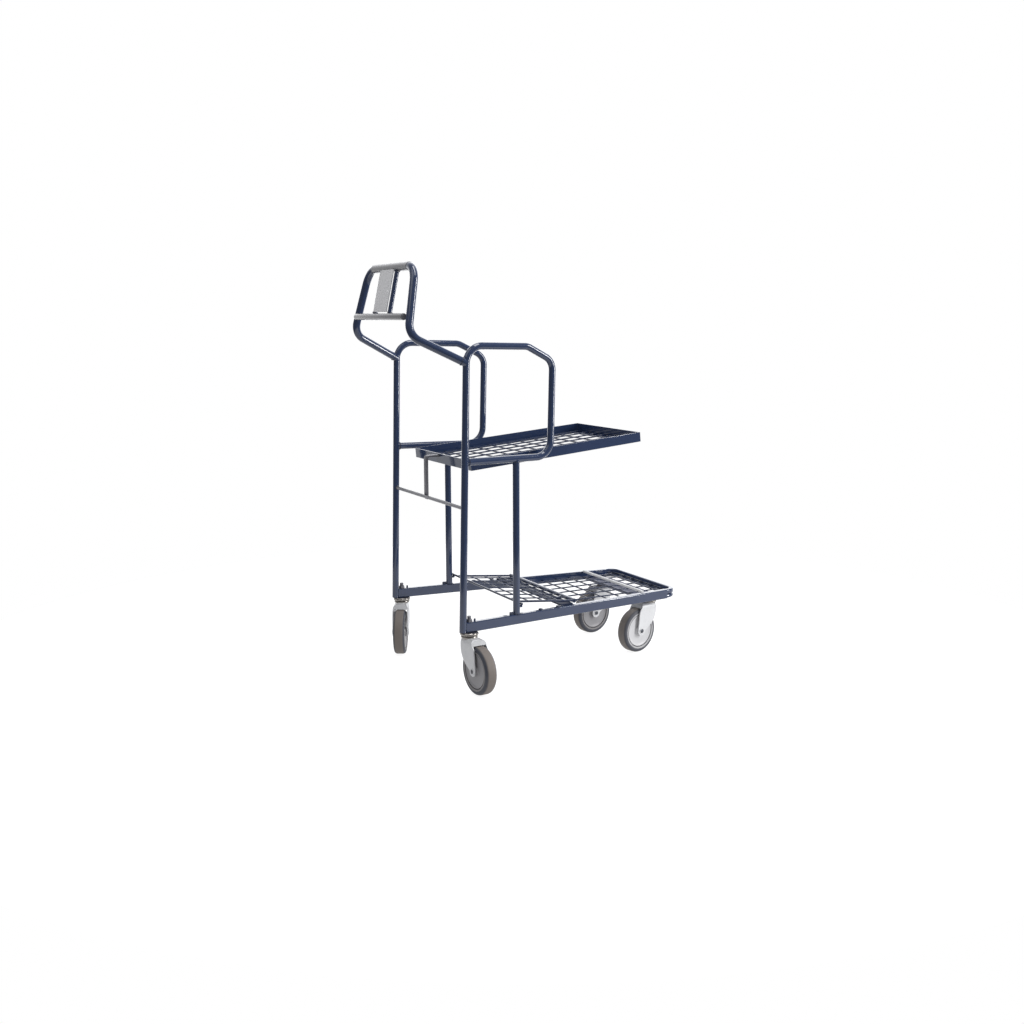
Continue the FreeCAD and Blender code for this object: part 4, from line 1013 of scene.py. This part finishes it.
# softboxes: place, point they face, width, height and power
lights = {"overhead": ((0.1, -0.5, 2.9), (0, 0, 0.4), 0.7, 2.0, 26),
          "rightStrip": ((2.6, -2.19, 1.45), (0, 0, 0.6), 0.45, 2.6, 95),
          "upperLeft": ((-1.9, -0.4, 2.9), (0, 0, 0.6), 2.2, 2.0, 15)}
floorShape = bmesh.new()
bmesh.ops.create_circle(floorShape, cap_ends=True, segments=96, radius=studio["floorRadius"])
floorMesh = bpy.data.meshes.new("floor")
floorShape.to_mesh(floorMesh)
floorShape.free()
floorFinish, floorTree, floorPlace = newFinish("paleFloor")
grey = noise(floorTree, floorPlace, 3.0)
floorColour = blendColour(floorTree, grey, (*studio["floorTone"], 1), (*studio["floorPatches"], 1))
rays = floorTree.node("ShaderNodeLightPath").outputs
seenGlow = floorTree.val(rays["Is Camera Ray"]) * studio["glowSeen"]
mirroredGlow = floorTree.val(rays["Is Glossy Ray"]) * studio["glowMirrored"]
fade = seenGlow + mirroredGlow + studio["glowSpread"]
floorGlow = blendColour(floorTree, fade, (0, 0, 0, 1), (1, 1, 1, 1))
closeFinish(floorFinish, floorTree, {"Base Color": floorColour, "Roughness": studio["floorRough"],
                                     "Emission Color": floorGlow, "Emission Strength": 1.0})
floorMesh.materials.append(floorFinish)
floor = addObject("floor", floorMesh)

world = bpy.data.worlds.new("studio")
scene.world = world
world.use_nodes = True
world.node_tree.nodes.clear()
sky = Tree(world.node_tree)
seen = sky.node("ShaderNodeLightPath").outputs["Is Camera Ray"]
aim = sky.node("ShaderNodeTexCoord").outputs["Generated"]
height = sky.val(sky.node("ShaderNodeSeparateXYZ", None, {0: aim}).outputs[2])
facing = sky.val(sky.node("ShaderNodeVectorMath", {"operation": "DOT_PRODUCT"},
                          {0: aim, 1: studio["backdropAim"]}).outputs["Value"])
edgeStart, edgeEnd = studio["backdropEdge"]
behind = sky.out("ShaderNodeMapRange",
                 {0: facing, 1: edgeStart, 2: edgeEnd, 3: 0.0, 4: 1.0},
                 {"interpolation_type": "SMOOTHSTEP"})
upper = height.math("MAXIMUM", height, 0.0) * studio["skyRise"] + studio["skyLow"]
glow = upper + sky.val(behind) * studio["backdrop"]
lit = sky.out("ShaderNodeBackground", {"Color": (*studio["skyTint"], 1), "Strength": glow})
shown = sky.out("ShaderNodeBackground", {"Color": (1, 1, 1, 1), "Strength": studio["skySeen"]})
mixed = sky.out("ShaderNodeMixShader", {0: seen, 1: lit, 2: shown})
sky.node("ShaderNodeOutputWorld", None, {"Surface": mixed})


def softbox(name, position, target, wide, tall, power):
    light = bpy.data.lights.new(name, "AREA")
    light.shape = "RECTANGLE"
    light.size = wide
    light.size_y = tall
    light.energy = power
    aim = (Vector(target) - Vector(position)).to_track_quat("-Z", "Y").to_matrix().to_4x4()
    addObject(name, light).matrix_world = Matrix.Translation(position) @ aim


for name, values in lights.items():
    softbox(name, *values)

camera = bpy.data.cameras.new("photoView")
camera.lens = studio["lens"]
camera.sensor_width = studio["sensor"]
camera.clip_end = studio["farthest"]
viewer = addObject("photoView", camera)
back = -Vector(studio["forward"]).normalized()
top = Vector(studio["up"]).normalized()
across = top.cross(back).normalized()
top = back.cross(across)
basis = Matrix((across, top, back)).transposed().to_4x4()
viewer.matrix_world = at(*studio["eye"]) @ basis
scene.camera = viewer
scene.view_settings.view_transform = "Standard"
scene.view_settings.look = "None"

print("scene ready")
